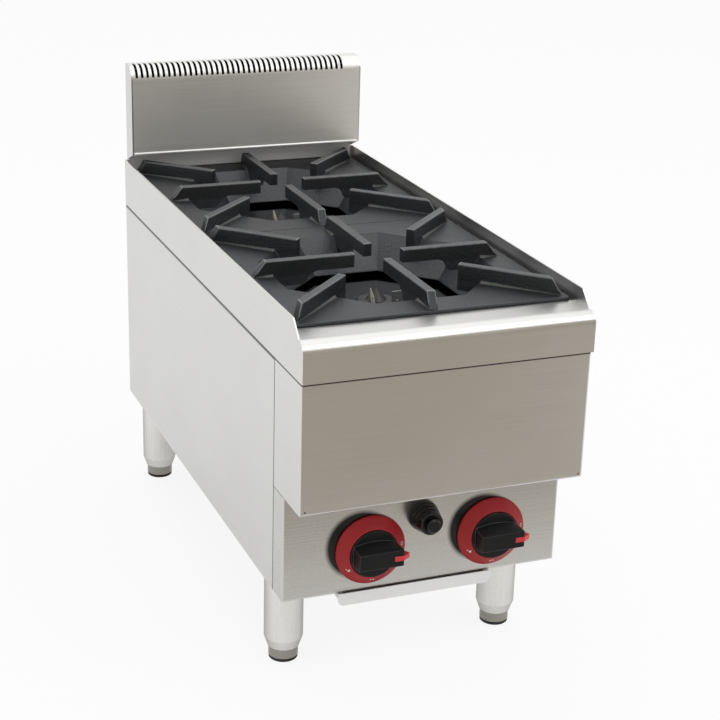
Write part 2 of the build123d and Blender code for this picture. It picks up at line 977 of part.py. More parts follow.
# Side panels with turned-in flanges at the top, bottom and back
def make_side_panel(side):
    with BuildPart() as panel:
        with BuildSketch(Plane.YZ.offset(side * panel_half)):
            with Locations(((seam_y + rear) / 2, (body_bottom + panel_top) / 2)):
                Rectangle(rear - seam_y, panel_top - body_bottom)
        extrude(amount=-side * panel_sheet)
        flange_y = rear - panel_sheet - seat_gap
        edge_x = side * (panel_half - narrow_flange / 2)
        for level in (body_bottom, panel_top - panel_sheet):
            with BuildSketch(Plane.XY.offset(level)):
                with Locations((edge_x, (seam_y + flange_y) / 2)):
                    Rectangle(narrow_flange, flange_y - seam_y)
            extrude(amount=panel_sheet)
        flange_x = side * (panel_half - back_flange_width / 2)
        with BuildSketch(facing_front(flange_y)):
            with Locations((flange_x, (body_bottom + panel_top) / 2)):
                Rectangle(back_flange_width, panel_top - body_bottom)
            for height in back_screw_heights:
                with Locations((side * back_screw_x, height)):
                    Circle(back_screw_radius + round_gap, mode=Mode.SUBTRACT)
        extrude(amount=panel_sheet)
    return panel.part


back_screw_x = panel_half - back_flange_width / 2
back_screw_step = (panel_top - body_bottom) / back_screw_columns
back_screw_heights = [
    body_bottom + back_screw_step * (n + 0.5) for n in range(back_screw_columns)
]
save("side_panel_left", make_side_panel(-1))
save("side_panel_right", make_side_panel(1))

# Back panel with vents and the hole for the inlet
with BuildPart() as back_panel:
    with BuildSketch(facing_front(rear)):
        with Locations((0, (body_bottom + panel_top) / 2)):
            Rectangle(2 * (panel_half - panel_sheet - seat_gap), panel_top - body_bottom)
        with Locations((supply_x, tap_height)):
            Circle(inlet_shoulder_radius + inlet_panel_gap, mode=Mode.SUBTRACT)
        for column in (-1, 1):
            for row in range(vent_rows):
                vent_x = column * (vent_width + vent_column_gap) / 2
                with Locations((vent_x, step_height + vent_rise + vent_pitch * row)):
                    SlotOverall(vent_width, vent_height, mode=Mode.SUBTRACT)
        for side in (-1, 1):
            for height in back_screw_heights:
                with Locations((side * back_screw_x, height)):
                    Circle(back_screw_radius + round_gap, mode=Mode.SUBTRACT)
    extrude(amount=panel_sheet)
save("back_panel", back_panel.part)

with BuildPart() as back_screws:
    for side in (-1, 1):
        for height in back_screw_heights:
            with BuildSketch(facing_front(rear + back_screw_head_height)):
                with Locations((side * back_screw_x, height)):
                    Circle(back_screw_head_radius)
            extrude(amount=back_screw_head_height)
            with BuildSketch(facing_front(rear)):
                with Locations((side * back_screw_x, height)):
                    Circle(back_screw_radius)
            extrude(amount=back_screw_length)
save("back_screws", back_screws.part)

# Base frame: floor with the tray opening and an upturned edge each side
leg_places = (
    ("front_left", -leg_x, front_leg_y),
    ("front_right", leg_x, front_leg_y),
    ("rear_left", -leg_x, rear_leg_y),
    ("rear_right", leg_x, rear_leg_y),
)
frame_rear = rear - panel_sheet - seat_gap - panel_sheet - seat_gap
with BuildPart() as base_frame:
    with BuildSketch(Plane.XY.offset(floor_bottom)):
        with Locations((0, (seam_y + frame_rear) / 2)):
            Rectangle(2 * floor_half, frame_rear - seam_y)
        with Locations(((tray_left + tray_right) / 2, (seam_y + frame_rear) / 2)):
            RectangleRounded(
                tray_right - tray_left - 2 * opening_side_margin,
                frame_rear - seam_y - 2 * opening_end_margin,
                opening_corner,
                mode=Mode.SUBTRACT,
            )
        for name, x, y in leg_places:
            with Locations((x, y)):
                Circle(stud_radius + round_gap, mode=Mode.SUBTRACT)
    extrude(amount=top_sheet)
    with BuildSketch(Plane.XY.offset(floor_bottom)):
        for side in (-1, 1):
            edge_x = side * (floor_half - top_sheet / 2)
            with Locations((edge_x, (seam_y + frame_rear) / 2)):
                Rectangle(top_sheet, frame_rear - seam_y)
    extrude(amount=floor_lip)
save("base_frame", base_frame.part)


# Legs: tube with a stud on top, a threaded bush inside, a tapered shoulder
def make_leg(x, y):
    leg_top = floor_bottom - seat_gap
    mouth = foot_radius + round_gap
    inside = leg_radius - leg_wall
    bush_hole = foot_stem_radius + screw_fit
    with BuildPart() as leg:
        with BuildSketch(Plane(origin=(x, y, 0), x_dir=(1, 0, 0), z_dir=(0, -1, 0))):
            with BuildLine():
                Polyline(
                    (mouth, leg_shoulder_bottom),
                    (mouth + leg_mouth_wall, leg_shoulder_bottom),
                    (leg_radius, leg_shoulder_top),
                    (leg_radius, leg_top),
                    (stud_radius, leg_top),
                    (stud_radius, stud_top),
                    (0, stud_top),
                    (0, leg_top - leg_wall),
                    (inside, leg_top - leg_wall),
                    (inside, bush_bottom + bush_height),
                    (bush_hole, bush_bottom + bush_height),
                    (bush_hole, bush_bottom),
                    (inside, bush_bottom),
                    (inside, leg_shoulder_top + leg_wall),
                    (mouth, leg_shoulder_bottom + leg_wall),
                    close=True,
                )
            make_face()
        revolve(axis=Axis((x, y, 0), (0, 0, 1)))
    return leg.part


# Foot: barrel that slides in the shoulder and a stem in the bush
def make_foot(x, y):
    with BuildPart() as foot:
        with BuildSketch(Plane.XY.offset(foot_pad_height)):
            with Locations((x, y)):
                Circle(foot_radius)
        extrude(amount=foot_barrel_top - foot_pad_height)
        with BuildSketch(Plane.XY.offset(foot_barrel_top)):
            with Locations((x, y)):
                Circle(foot_stem_radius)
        extrude(amount=foot_stem_top - foot_barrel_top)
        chamfer(foot.faces().sort_by(Axis.Z)[0].edges(), foot_chamfer)
    return foot.part


def make_foot_pad(x, y):
    with BuildPart() as pad:
        with BuildSketch():
            with Locations((x, y)):
                Circle(foot_pad_radius)
        extrude(amount=foot_pad_height)
        chamfer(pad.faces().sort_by(Axis.Z)[0].edges(), foot_pad_chamfer)
    return pad.part


for name, x, y in leg_places:
    save("leg_" + name, make_leg(x, y))
    save("foot_" + name, make_foot(x, y))
    save("foot_pad_" + name, make_foot_pad(x, y))

with BuildPart() as leg_nuts:
    with BuildSketch(Plane.XY.offset(floor_top)):
        for name, x, y in leg_places:
            with Locations((x, y)):
                RegularPolygon(nut_radius, 6)
                Circle(stud_radius + screw_fit, mode=Mode.SUBTRACT)
    extrude(amount=nut_height)
save("leg_nuts", leg_nuts.part)

# Drip tray: shallow pan with side rims and a lip that hangs in front
tray_front = control_y - lip_gap
tray_rear = rear - tray_rear_margin
tray_length = tray_rear - tray_front
tray_middle = (tray_left + tray_right) / 2
with BuildPart() as drip_tray:
    with BuildSketch(Plane.XY.offset(tray_bottom)):
        with Locations((tray_middle, (tray_front + tray_rear) / 2)):
            Rectangle(tray_right - tray_left, tray_length)
    extrude(amount=tray_top - tray_bottom)
    with BuildSketch(Plane.XY.offset(tray_top - tray_sheet)):
        with Locations((tray_middle, (tray_front + tray_rear) / 2)):
            Rectangle(tray_right - tray_left + 2 * tray_rim, tray_length)
    extrude(amount=tray_sheet)
    with BuildSketch(Plane.XY.offset(tray_bottom + tray_sheet)):
        with Locations((tray_middle, (tray_front + tray_rear) / 2)):
            Rectangle(tray_right - tray_left - 2 * tray_sheet, tray_length - 2 * tray_sheet)
    extrude(amount=tray_top - tray_bottom, mode=Mode.SUBTRACT)
    lip_middle = tray_middle + (lip_right_reach - lip_left_reach) / 2
    with BuildSketch(facing_front(tray_front)):
        with Locations((lip_middle, tray_bottom + lip_height / 2)):
            Rectangle(tray_right - tray_left + lip_left_reach + lip_right_reach, lip_height)
        fillet(vertices().group_by(Axis.Y)[0], lip_corner)
    extrude(amount=panel_sheet)
save("drip_tray", drip_tray.part)

# Tray runners: a channel each side that holds the tray's rims
runner_lip = tray_top - tray_sheet - runner_gap
runner_wall_x = tray_right + tray_rim + runner_gap
with BuildPart() as tray_runners:
    with BuildSketch(facing_front(tray_rear)):
        with BuildLine():
            Polyline(
                (tray_right + runner_gap, runner_lip),
                (runner_wall_x, runner_lip),
                (runner_wall_x, floor_bottom),
                (runner_wall_x + runner_flange, floor_bottom),
            )
            offset(amount=runner_sheet, side=Side.RIGHT)
        make_face()
    extrude(amount=tray_rear - seam_y)
    mirror(about=Plane.YZ.offset(tray_middle))
save("tray_runners", tray_runners.part)

# Bezels: cones that rise from the control panel to the knobs' faces
for place, x in (("left", tap_left_x), ("right", tap_right_x)):
    knob_centre = (x, control_y, tap_height)
    with BuildPart() as bezel:
        with BuildSketch(Plane(origin=knob_centre, x_dir=(1, 0, 0), z_dir=(0, 0, 1))):
            with BuildLine():
                Polyline(
                    (bezel_inner_radius, 0),
                    (bezel_radius, 0),
                    (bezel_radius, -bezel_edge),
                    (bezel_radius - bezel_chamfer, -bezel_edge - bezel_chamfer),
                    (bezel_inner_radius, -bezel_thickness),
                    close=True,
                )
            make_face()
        revolve(axis=Axis(knob_centre, (0, 1, 0)))
    save("bezel_" + place, bezel.part)


def draw_spindle_section(gap):
    """Round section with one flat, for the spindle and its socket."""
    Circle(spindle_radius + gap)
    with Locations((0, -spindle_flat_distance - gap)):
        Rectangle(
            4 * spindle_radius,
            2 * spindle_radius,
            align=(Align.CENTER, Align.MAX),
            mode=Mode.SUBTRACT,
        )


def draw_pointer(gap):
    """Plan of the pointer, right of the knob's centre, seen from above."""
    pointer_back_y = control_y - pointer_back_proud
    buried_length = knob_face_right_length - pointer_depth
    Polygon(
        (pointer_inner_length - gap, knob_bar_y - pointer_proud),
        (knob_face_right_length, knob_bar_y - pointer_proud),
        (pointer_tip_length, control_y - pointer_tip_proud),
        (pointer_foot_length, pointer_back_y),
        (buried_length, pointer_back_y),
        (buried_length, knob_bar_y + pointer_depth + gap),
        (pointer_inner_length - gap, knob_bar_y + pointer_depth + gap),
        align=None,
    )


# Knobs: the bar's crowned foot on the disc narrows to a flat face
for place, x in (("left", tap_left_x), ("right", tap_right_x)):
    base_left = x - knob_base_left_length
    base_right = x + knob_base_right_length
    base_low = tap_height - knob_base_half_height
    base_high = tap_height + knob_base_half_height
    face_width = knob_face_left_length + knob_face_right_length
    face_middle = x + (knob_face_right_length - knob_face_left_length) / 2
    with BuildPart() as knob:
        with BuildSketch(facing_front(knob_back_y)):
            with Locations((x, tap_height)):
                Circle(knob_radius)
        extrude(amount=knob_back_y - knob_disc_y)
        fillet(knob.faces().sort_by(Axis.Y)[0].edges(), knob_edge_round)
        with BuildSketch(facing_front(knob_disc_y + knob_edge_round)):
            with BuildLine():
                Line((base_left, base_low), (base_left, base_high))
                ThreePointArc(
                    (base_left, base_high),
                    (x, base_high + knob_base_crown),
                    (base_right, base_high),
                )
                Line((base_right, base_high), (base_right, base_low))
                ThreePointArc(
                    (base_right, base_low),
                    (x, base_low - knob_base_crown),
                    (base_left, base_low),
                )
            make_face()
        with BuildSketch(facing_front(knob_bar_y)):
            with Locations((face_middle, tap_height)):
                Rectangle(face_width, 2 * knob_face_half_height)
        loft()
        fillet(knob.faces().sort_by(Axis.Y)[0].edges(), bar_edge_round)
        # Socket for the spindle and slot for the pointer
        with BuildSketch(facing_front(knob_back_y)):
            with Locations((x, tap_height)):
                draw_spindle_section(knob_socket_gap)
        extrude(amount=knob_back_y - spindle_outer_y + knob_socket_gap, mode=Mode.SUBTRACT)
        pointer_height = pointer_thickness + 2 * knob_socket_gap
        with BuildSketch(Plane(origin=(x, 0, tap_height - pointer_height / 2), z_dir=(0, 0, 1))):
            draw_pointer(knob_socket_gap)
        extrude(amount=pointer_height, mode=Mode.SUBTRACT)
    save("knob_" + place, knob.part)

    with BuildPart() as pointer:
        with BuildSketch(Plane(origin=(x, 0, tap_height - pointer_thickness / 2), z_dir=(0, 0, 1))):
            draw_pointer(0)
        extrude(amount=pointer_thickness)
    save("pointer_" + place, pointer.part)

    with BuildPart() as spindle:
        with BuildSketch(facing_front(spindle_inner_y)):
            with Locations((x, tap_height)):
                Circle(spindle_radius)
        extrude(amount=spindle_inner_y - spindle_flat_y)
        with BuildSketch(facing_front(spindle_flat_y)):
            with Locations((x, tap_height)):
                draw_spindle_section(0)
        extrude(amount=spindle_flat_y - spindle_outer_y)
        chamfer(spindle.faces().sort_by(Axis.Y)[-1].edges(), spindle_chamfer)
    save("spindle_" + place, spindle.part)

    with BuildPart() as return_washer:
        with BuildSketch(facing_front(control_y + washer_depth + washer_thickness)):
            with Locations((x, tap_height)):
                Circle(washer_radius)
                Circle(spindle_radius + spindle_running_fit, mode=Mode.SUBTRACT)
        extrude(amount=washer_thickness)
    save("return_washer_" + place, return_washer.part)

    # Tap body with its outlet on top and its tail in the manifold
    with BuildPart() as tap:
        with BuildSketch(facing_front(tap_rear_y)):
            with Locations((x, tap_height)):
                Circle(tap_radius)
        extrude(amount=tap_length)
        with BuildSketch(facing_front(tap_rear_y + tap_tail_length)):
            with Locations((x, tap_height)):
                Circle(tap_tail_radius)
        extrude(amount=tap_tail_length)
        with BuildSketch(Plane.XY.offset(tap_height)):
            with Locations((x, control_y + tap_outlet_depth)):
                Circle(tap_outlet_radius)
        extrude(amount=tap_outlet_rise)
        with BuildSketch(facing_front(tap_front_y)):
            with Locations((x, tap_height)):
                Circle(spindle_radius + spindle_running_fit)
        extrude(
            amount=-(spindle_inner_y - tap_front_y + push_travel + push_reserve),
            mode=Mode.SUBTRACT,
        )
    save("tap_" + place, tap.part)


# Igniter: body through the panel, ribbed collar in front, button in the collar
igniter_centre = (igniter_x, control_y, igniter_height)
igniter_axis = Axis(igniter_centre, (0, 1, 0))
igniter_plan = Plane(origin=igniter_centre, x_dir=(1, 0, 0), z_dir=(0, 0, 1))
button_bore = button_radius + round_gap
button_end = -collar_length - button_proud + button_length
stem_bore = button_stem_radius + round_gap
with BuildPart() as igniter_body:
    with BuildSketch(igniter_plan):
        with BuildLine():
            Polyline(
                (stem_bore, -collar_seat_depth),
                (igniter_body_radius, -collar_seat_depth),
                (igniter_body_radius, igniter_body_length),
                (0, igniter_body_length),
                (0, button_end + button_stem_length + button_travel + push_reserve),
                (stem_bore, button_end + button_stem_length + button_travel + push_reserve),
                close=True,
            )
        make_face()
    revolve(axis=igniter_axis)
save("igniter_body", igniter_body.part)

with BuildPart() as igniter_collar:
    with BuildSketch(igniter_plan):
        with BuildLine():
            Polyline(
                (igniter_body_radius + screw_fit, 0),
                (collar_base_radius, 0),
                (collar_base_radius, -collar_flange),
                (collar_nose_radius + collar_edge, -collar_length + collar_edge),
                (collar_nose_radius, -collar_length),
                (button_bore, -collar_length),
                (button_bore, -collar_seat_depth),
                (igniter_body_radius + screw_fit, -collar_seat_depth),
                close=True,
            )
        make_face()
    revolve(axis=igniter_axis)
    # Grooves round the tapering outside
    rib_pitch = (collar_length - collar_flange) / (collar_rib_count + 1)
    for n in range(collar_rib_count):
        groove_y = -collar_flange - rib_pitch * (n + collar_groove_start)
        share = (n + collar_groove_start) / (collar_rib_count + 1)
        outer = collar_base_radius + (collar_nose_radius - collar_base_radius) * share
        with BuildSketch(igniter_plan):
            with Locations((outer + cut_over, groove_y)):
                Rectangle(2 * (collar_rib_depth + cut_over), rib_pitch * collar_groove_share)
        revolve(axis=igniter_axis, mode=Mode.SUBTRACT)
save("igniter_collar", igniter_collar.part)

with BuildPart() as igniter_button:
    with BuildSketch(igniter_plan):
        with BuildLine():
            Polyline(
                (0, button_end + button_stem_length),
                (button_stem_radius, button_end + button_stem_length),
                (button_stem_radius, button_end),
                (button_radius, button_end),
                (button_radius, -collar_length - button_proud + button_dome),
                (button_radius - button_dome, -collar_length - button_proud),
                (0, -collar_length - button_proud),
                close=True,
            )
        make_face()
    revolve(axis=igniter_axis)
save("igniter_button", igniter_button.part)

# Manifold: tube with a plug at one end, an elbow at the other, tap holes
manifold_y = control_y + manifold_depth
elbow_centre = (supply_x, manifold_y, tap_height)
elbow_face_x = supply_x - elbow_size / 2
with BuildPart() as manifold:
    with BuildSketch(Plane.YZ.offset(manifold_left_end)):
        with Locations((manifold_y, tap_height)):
            Circle(pipe_radius)
    extrude(amount=elbow_face_x - manifold_left_end)
    with Locations(elbow_centre):
        Box(elbow_size, elbow_size, elbow_size)
    elbow_edges = manifold.edges().filter_by(Axis.Z).group_by(Axis.X)[-1]
    fillet(elbow_edges, elbow_round)
    with BuildSketch(Plane.YZ.offset(manifold_left_end + manifold_plug)):
        with Locations((manifold_y, tap_height)):
            Circle(pipe_bore)
    extrude(amount=supply_x - manifold_left_end - manifold_plug, mode=Mode.SUBTRACT)
    with BuildSketch(facing_front(manifold_y)):
        with Locations((supply_x, tap_height)):
            Circle(pipe_bore)
    extrude(amount=-elbow_size / 2, mode=Mode.SUBTRACT)
    with BuildSketch(facing_front(manifold_y)):
        with Locations((tap_left_x, tap_height), (tap_right_x, tap_height)):
            Circle(tap_tail_radius + screw_fit)
    extrude(amount=pipe_radius, mode=Mode.SUBTRACT)
save("manifold", manifold.part)

# Saddles: upright plates on the floor that carry the manifold
with BuildPart() as manifold_saddles:
    for x in saddle_places:
        with BuildSketch(Plane.YZ.offset(x)):
            with Locations((manifold_y, floor_top)):
                Rectangle(
                    2 * saddle_half_width,
                    tap_height - saddle_top_drop - floor_top,
                    align=(Align.CENTER, Align.MIN),
                )
            with Locations((manifold_y, tap_height)):
                Circle(pipe_radius + round_gap, mode=Mode.SUBTRACT)
        extrude(amount=saddle_sheet)
        with BuildSketch(Plane.XY.offset(floor_top)):
            with Locations((x, manifold_y)):
                Rectangle(saddle_foot_width, 2 * saddle_half_width, align=(Align.MIN, Align.CENTER))
        extrude(amount=saddle_sheet)
save("manifold_saddles", manifold_saddles.part)

# Supply pipe from the elbow to the back, and the threaded inlet
supply_front = manifold_y + elbow_size / 2
supply_rear = rear - supply_rear_inset
with BuildPart() as supply_pipe:
    with BuildSketch(facing_front(supply_rear)):
        with Locations((supply_x, tap_height)):
            Circle(pipe_radius)
            Circle(pipe_bore, mode=Mode.SUBTRACT)
    extrude(amount=supply_rear - supply_front)
save("supply_pipe", supply_pipe.part)

inlet_end = rear + inlet_reach
with BuildPart() as inlet_nipple:
    with BuildSketch(facing_front(inlet_end)):
        with Locations((supply_x, tap_height)):
            Circle(inlet_thread_radius)
    extrude(amount=inlet_end - supply_rear)
    chamfer(inlet_nipple.faces().sort_by(Axis.Y)[-1].edges(), inlet_chamfer)
    with BuildSketch(facing_front(rear + inlet_shoulder_proud)):
        with Locations((supply_x, tap_height)):
            Circle(inlet_shoulder_radius)
    extrude(amount=supply_rear_inset + inlet_shoulder_proud)
    with BuildSketch(facing_front(supply_rear + inlet_hex_length)):
        with Locations((supply_x, tap_height)):
            RegularPolygon(inlet_hex_width / 2, 6, major_radius=False)
    extrude(amount=inlet_hex_length)
    with BuildSketch(facing_front(inlet_end)):
        with Locations((supply_x, tap_height)):
            Circle(pipe_bore)
    extrude(amount=inlet_end - supply_rear, mode=Mode.SUBTRACT)
save("inlet_nipple", inlet_nipple.part)

# Injectors: a block at each mixing tube's mouth with a jet pointing into it
outlet_y = control_y + tap_outlet_depth
outlet_top = tap_height + tap_outlet_rise
injector_places = [
    centre_y - tube_reach - injector_gap - injector_block_width / 2
    for centre_y in (front_support_y, rear_support_y)
]
with BuildPart() as injectors:
    for block_y in injector_places:
        block_rear = block_y + injector_block_width / 2
        with Locations((0, block_y, tube_axis_height)):
            Box(injector_block_width, injector_block_width, injector_block_width)
        with BuildSketch(facing_front(block_rear + jet_length)):
            with Locations((0, tube_axis_height)):
                Circle(jet_radius)
        extrude(amount=jet_length)
        with BuildSketch(facing_front(block_rear + jet_length)):
            with Locations((0, tube_axis_height)):
                Circle(jet_bore)
        extrude(amount=jet_length, mode=Mode.SUBTRACT)
save("injectors", injectors.part)

# Gas pipes from the taps: one to the front burner, one low and to the back
front_injector_y, rear_injector_y = injector_places
low_pipe_height = rail_top - rail_height - low_pipe_drop
pipe_routes = (
    (
        (tap_left_x, outlet_y, outlet_top),
        (tap_left_x, outlet_y, tube_axis_height),
        (-injector_block_width / 2, front_injector_y, tube_axis_height),
    ),
    (
        (tap_right_x, outlet_y, outlet_top),
        (tap_right_x, outlet_y, low_pipe_height),
        (tap_right_x, rear_injector_y, low_pipe_height),
        (tap_right_x, rear_injector_y, tube_axis_height),
        (injector_block_width / 2, rear_injector_y, tube_axis_height),
    ),
)
with BuildPart() as gas_pipes:
    for route in pipe_routes:
        with BuildLine() as path:
            FilletPolyline(*route, radius=small_pipe_bend)
        with BuildSketch(Plane.XY.offset(outlet_top)):
            with Locations(route[0][:2]):
                Circle(small_pipe_radius)
                Circle(small_pipe_bore, mode=Mode.SUBTRACT)
        sweep(path=path.line)
save("gas_pipes", gas_pipes.part)
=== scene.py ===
import bpy
import bmesh
import json
import math
from mathutils import Matrix, Vector


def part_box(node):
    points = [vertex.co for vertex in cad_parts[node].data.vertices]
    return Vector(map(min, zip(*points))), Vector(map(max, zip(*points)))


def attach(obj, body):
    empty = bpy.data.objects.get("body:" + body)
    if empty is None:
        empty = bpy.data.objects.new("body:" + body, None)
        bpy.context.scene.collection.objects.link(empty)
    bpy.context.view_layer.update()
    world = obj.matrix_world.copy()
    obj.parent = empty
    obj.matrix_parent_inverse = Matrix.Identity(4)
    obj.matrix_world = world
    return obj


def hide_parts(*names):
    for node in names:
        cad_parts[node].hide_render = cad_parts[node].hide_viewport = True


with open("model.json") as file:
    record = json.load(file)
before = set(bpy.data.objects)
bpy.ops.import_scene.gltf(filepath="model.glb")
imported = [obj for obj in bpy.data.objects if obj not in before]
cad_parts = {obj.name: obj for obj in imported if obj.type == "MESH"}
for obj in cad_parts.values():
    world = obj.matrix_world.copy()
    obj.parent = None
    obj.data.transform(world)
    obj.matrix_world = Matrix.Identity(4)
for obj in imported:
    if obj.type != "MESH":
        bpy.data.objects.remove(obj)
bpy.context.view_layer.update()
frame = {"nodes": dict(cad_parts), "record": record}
nodes = frame["nodes"]

# Places on the cooktop, in metres
front = -0.3375
rear = 0.3125
control_face = front + 0.0495
tap_height = 0.149
taps = {"left": -0.058, "right": 0.074}
support_rows = {"front": front + 0.194, "rear": front + 0.4965}
support_top = 0.395
seam = front + 0.0795
step_height = 0.218
panel_top = 0.3517
sheet_thickness = 0.0009
backguard_front = rear - 0.028
backguard_top = 0.527
backguard_curve = 0.016
backguard_half = 0.145
backguard_foot = 0.4195
# Heights over which painted shade comes in on the duct's back sheet
soot_start = 0.425
soot_full = 0.45

# Pan supports and bezels
fin_thickness = 0.009
bowl_edge = 0.1145
bead_ends = {"end": 0.1435, "side": 0.134, "corner": 0.193}
bead_size = 0.0026
bezel_inner = 0.0258
bezel_inner_y = control_face - 0.0115
bezel_slope = 0.0085 / (0.036 - bezel_inner)
mark_radius = 0.0306
mark_proud = 0.00025

# Angles of the bezel marks, in degrees up from the right
off_ring_at = 8
large_flame_at = 212
small_flames_at = 270

# Studio: where the white sweep ends in front, and the tone of the room past it
sweep_start = -0.36
sweep_end = -0.71
sweep_side = 0.47
sweep_side_end = sweep_side + 0.14
corner_start = -0.9
corner_end = -1.02
# Painted shadow on the floor beside the cooktop, seen only in reflections: its tone and the widths over
# which it fades
near_shadow_tone = 0.9
near_width = 0.2
far_width = 1.2
room_tone = (0.405, 0.363, 0.307, 1)
white = (1, 1, 1, 1)
light_target = (0, 0, 0.3)

# Camera fitted to the photo, angles in degrees
camera_azimuth = -22.0565
camera_elevation = 20.4058
camera_roll = 1.6492
camera_target = (0, -0.1044, 0.2773)
camera_distance = 1.83303
camera_lens = 85.4376
camera_sensor = 36


# Shader nodes

def fill(tree, node, links):
    """Gives each socket its plain value or its link."""
    for socket, source in links:
        if isinstance(source, (int, float, tuple)):
            node.inputs[socket].default_value = source
        else:
            tree.links.new(source, node.inputs[socket])
    return node


def add_node(tree, kind, links=(), **settings):
    """A node with its settings, socket values and incoming links."""
    node = tree.nodes.new(kind)
    for key, value in settings.items():
        setattr(node, key, value)
    return fill(tree, node, links)


def maths(tree, operation, a, b=0.0, clamp=False):
    links = [(0, a), (1, b)]
    return add_node(tree, "ShaderNodeMath", links, operation=operation, use_clamp=clamp).outputs[0]


def multiply(tree, a, b, clamp=False):
    return maths(tree, "MULTIPLY", a, b, clamp)


def vector_maths(tree, operation, *inputs):
    """A vector, or a number where the operation gives one."""
    node = add_node(tree, "ShaderNodeVectorMath", list(enumerate(inputs)), operation=operation)
    return node.outputs["Value" if operation in ("DOT_PRODUCT", "LENGTH") else "Vector"]


def split_up(tree, vector):
    """X, Y and Z of a vector."""
    return add_node(tree, "ShaderNodeSeparateXYZ", [(0, vector)]).outputs


def join_up(tree, *parts):
    return add_node(tree, "ShaderNodeCombineXYZ", list(enumerate(parts))).outputs[0]


def true_normal(tree):
    return tree.nodes.new("ShaderNodeNewGeometry").outputs["Normal"]


def ramp(tree, value, start, end, low=0.0, high=1.0):
    """Low at the start, high at the end and beyond."""
    links = [("Value", value), ("From Min", start), ("From Max", end), ("To Min", low), ("To Max", high)]
    return add_node(tree, "ShaderNodeMapRange", links).outputs[0]


def spread(tree, value, low, high):
    """Value from 0..1 laid over low..high."""
    return ramp(tree, value, 0.0, 1.0, low, high)


def noise_at(tree, place, scale, detail=3.0):
    links = [("Vector", place), ("Scale", scale), ("Detail", detail)]
    return add_node(tree, "ShaderNodeTexNoise", links).outputs["Fac"]


def blend_colours(tree, share, a, b, kind="MIX"):
    links = [(0, share), (6, a), (7, b)]
    return add_node(tree, "ShaderNodeMix", links, data_type="RGBA", blend_type=kind).outputs[2]


def grey_of(tree, value):
    return add_node(tree, "ShaderNodeCombineColor", [(0, value), (1, value), (2, value)]).outputs[0]


def shaded(tree, colour, shade):
    """A colour times a grey value."""
    return blend_colours(tree, 1.0, colour, grey_of(tree, shade), "MULTIPLY")


def darkened(tree, shade, mask, least):
    """A shade that falls to its least share where the mask is 1."""
    return multiply(tree, shade, spread(tree, mask, 1.0, least))


def mirrored_share(tree, path):
    """1 for rays that come off or through a shiny surface."""
    return maths(
        tree, "ADD", path.outputs["Is Glossy Ray"], path.outputs["Is Transmission Ray"], clamp=True
    )


# Shader groups shared by several finishes

def new_group(name, given, results):
    """A group with a Vector input, further inputs with their values, and its outputs."""
    group = bpy.data.node_groups.new(name, "ShaderNodeTree")
    for label, value in (("Vector", (0, 0, 0)), *given.items()):
        kind = "NodeSocketVector" if isinstance(value, tuple) else "NodeSocketFloat"
        socket = group.interface.new_socket(label, in_out="INPUT", socket_type=kind)
        socket.default_value = value
    for label in results:
        kind = "NodeSocketVector" if label == "Normal" else "NodeSocketFloat"
        group.interface.new_socket(label, in_out="OUTPUT", socket_type=kind)
    inputs = group.nodes.new("NodeGroupInput").outputs
    return group, inputs, group.nodes.new("NodeGroupOutput").inputs


def use_group(tree, group, place, **given):
    """Lays a group on a place and returns its outputs."""
    node = tree.nodes.new("ShaderNodeGroup")
    node.node_tree = group
    return fill(tree, node, [("Vector", place), *given.items()]).outputs


def build_brush_grain():
    """Long fine scratches along X or Y on walls and along X on level faces."""
    tree, given, result = new_group(
        "brush_grain", {"Length": 6.0, "Fineness": 900.0}, ("Grain", "Clouds")
    )
    x, y, z = split_up(tree, given["Vector"])
    facing = split_up(tree, true_normal(tree))
    level = maths(tree, "GREATER_THAN", maths(tree, "ABSOLUTE", facing[2]), 0.9)
    extra = maths(tree, "SUBTRACT", given["Fineness"], given["Length"])
    rate = maths(tree, "ADD", multiply(tree, extra, level), given["Length"])
    along = multiply(tree, x, given["Length"])
    across = multiply(tree, y, rate)
    up = multiply(tree, z, given["Fineness"])
    grain = noise_at(tree, join_up(tree, along, across, up), 1.0, 4.0)
    tree.links.new(grain, result["Grain"])
    tree.links.new(noise_at(tree, given["Vector"], 7.0), result["Clouds"])
    return tree


def build_tube_grain():
    """Fine scratches up and down a polished tube."""
    tree, given, result = new_group("tube_grain", {"Length": 9.0, "Fineness": 900.0}, ("Grain",))
    x, y, z = split_up(tree, given["Vector"])
    wide = multiply(tree, x, given["Fineness"])
    deep = multiply(tree, y, given["Fineness"])
    tall = multiply(tree, z, given["Length"])
    tree.links.new(noise_at(tree, join_up(tree, wide, deep, tall), 1.0), result["Grain"])
    return tree


def build_edge_wear_and_highlight():
    """Share of a pale edge colour on outside edges, broken up by noise, for a painted highlight and, on
    the iron, wear, and a softened normal.
    """
    tree, given, result = new_group(
        "edge_wear_and_highlight", {"Radius": 0.002, "Amount": 1.0}, ("Highlight And Wear", "Upper Highlight And Wear", "Normal")
    )
    bevel = add_node(tree, "ShaderNodeBevel", [("Radius", given["Radius"])], samples=6)
    softened = bevel.outputs[0]
    alike = vector_maths(tree, "DOT_PRODUCT", softened, true_normal(tree))
    rim = multiply(tree, maths(tree, "SUBTRACT", 1.0, alike), 6.0, clamp=True)
    broken = multiply(tree, rim, noise_at(tree, given["Vector"], 90.0))
    wear = multiply(tree, broken, given["Amount"], clamp=True)
    rise = split_up(tree, softened)[2]
    facing_up = maths(tree, "ADD", multiply(tree, rise, 1.5), 0.05, clamp=True)
    tree.links.new(wear, result["Highlight And Wear"])
    tree.links.new(multiply(tree, wear, facing_up), result["Upper Highlight And Wear"])
    tree.links.new(softened, result["Normal"])
    return tree


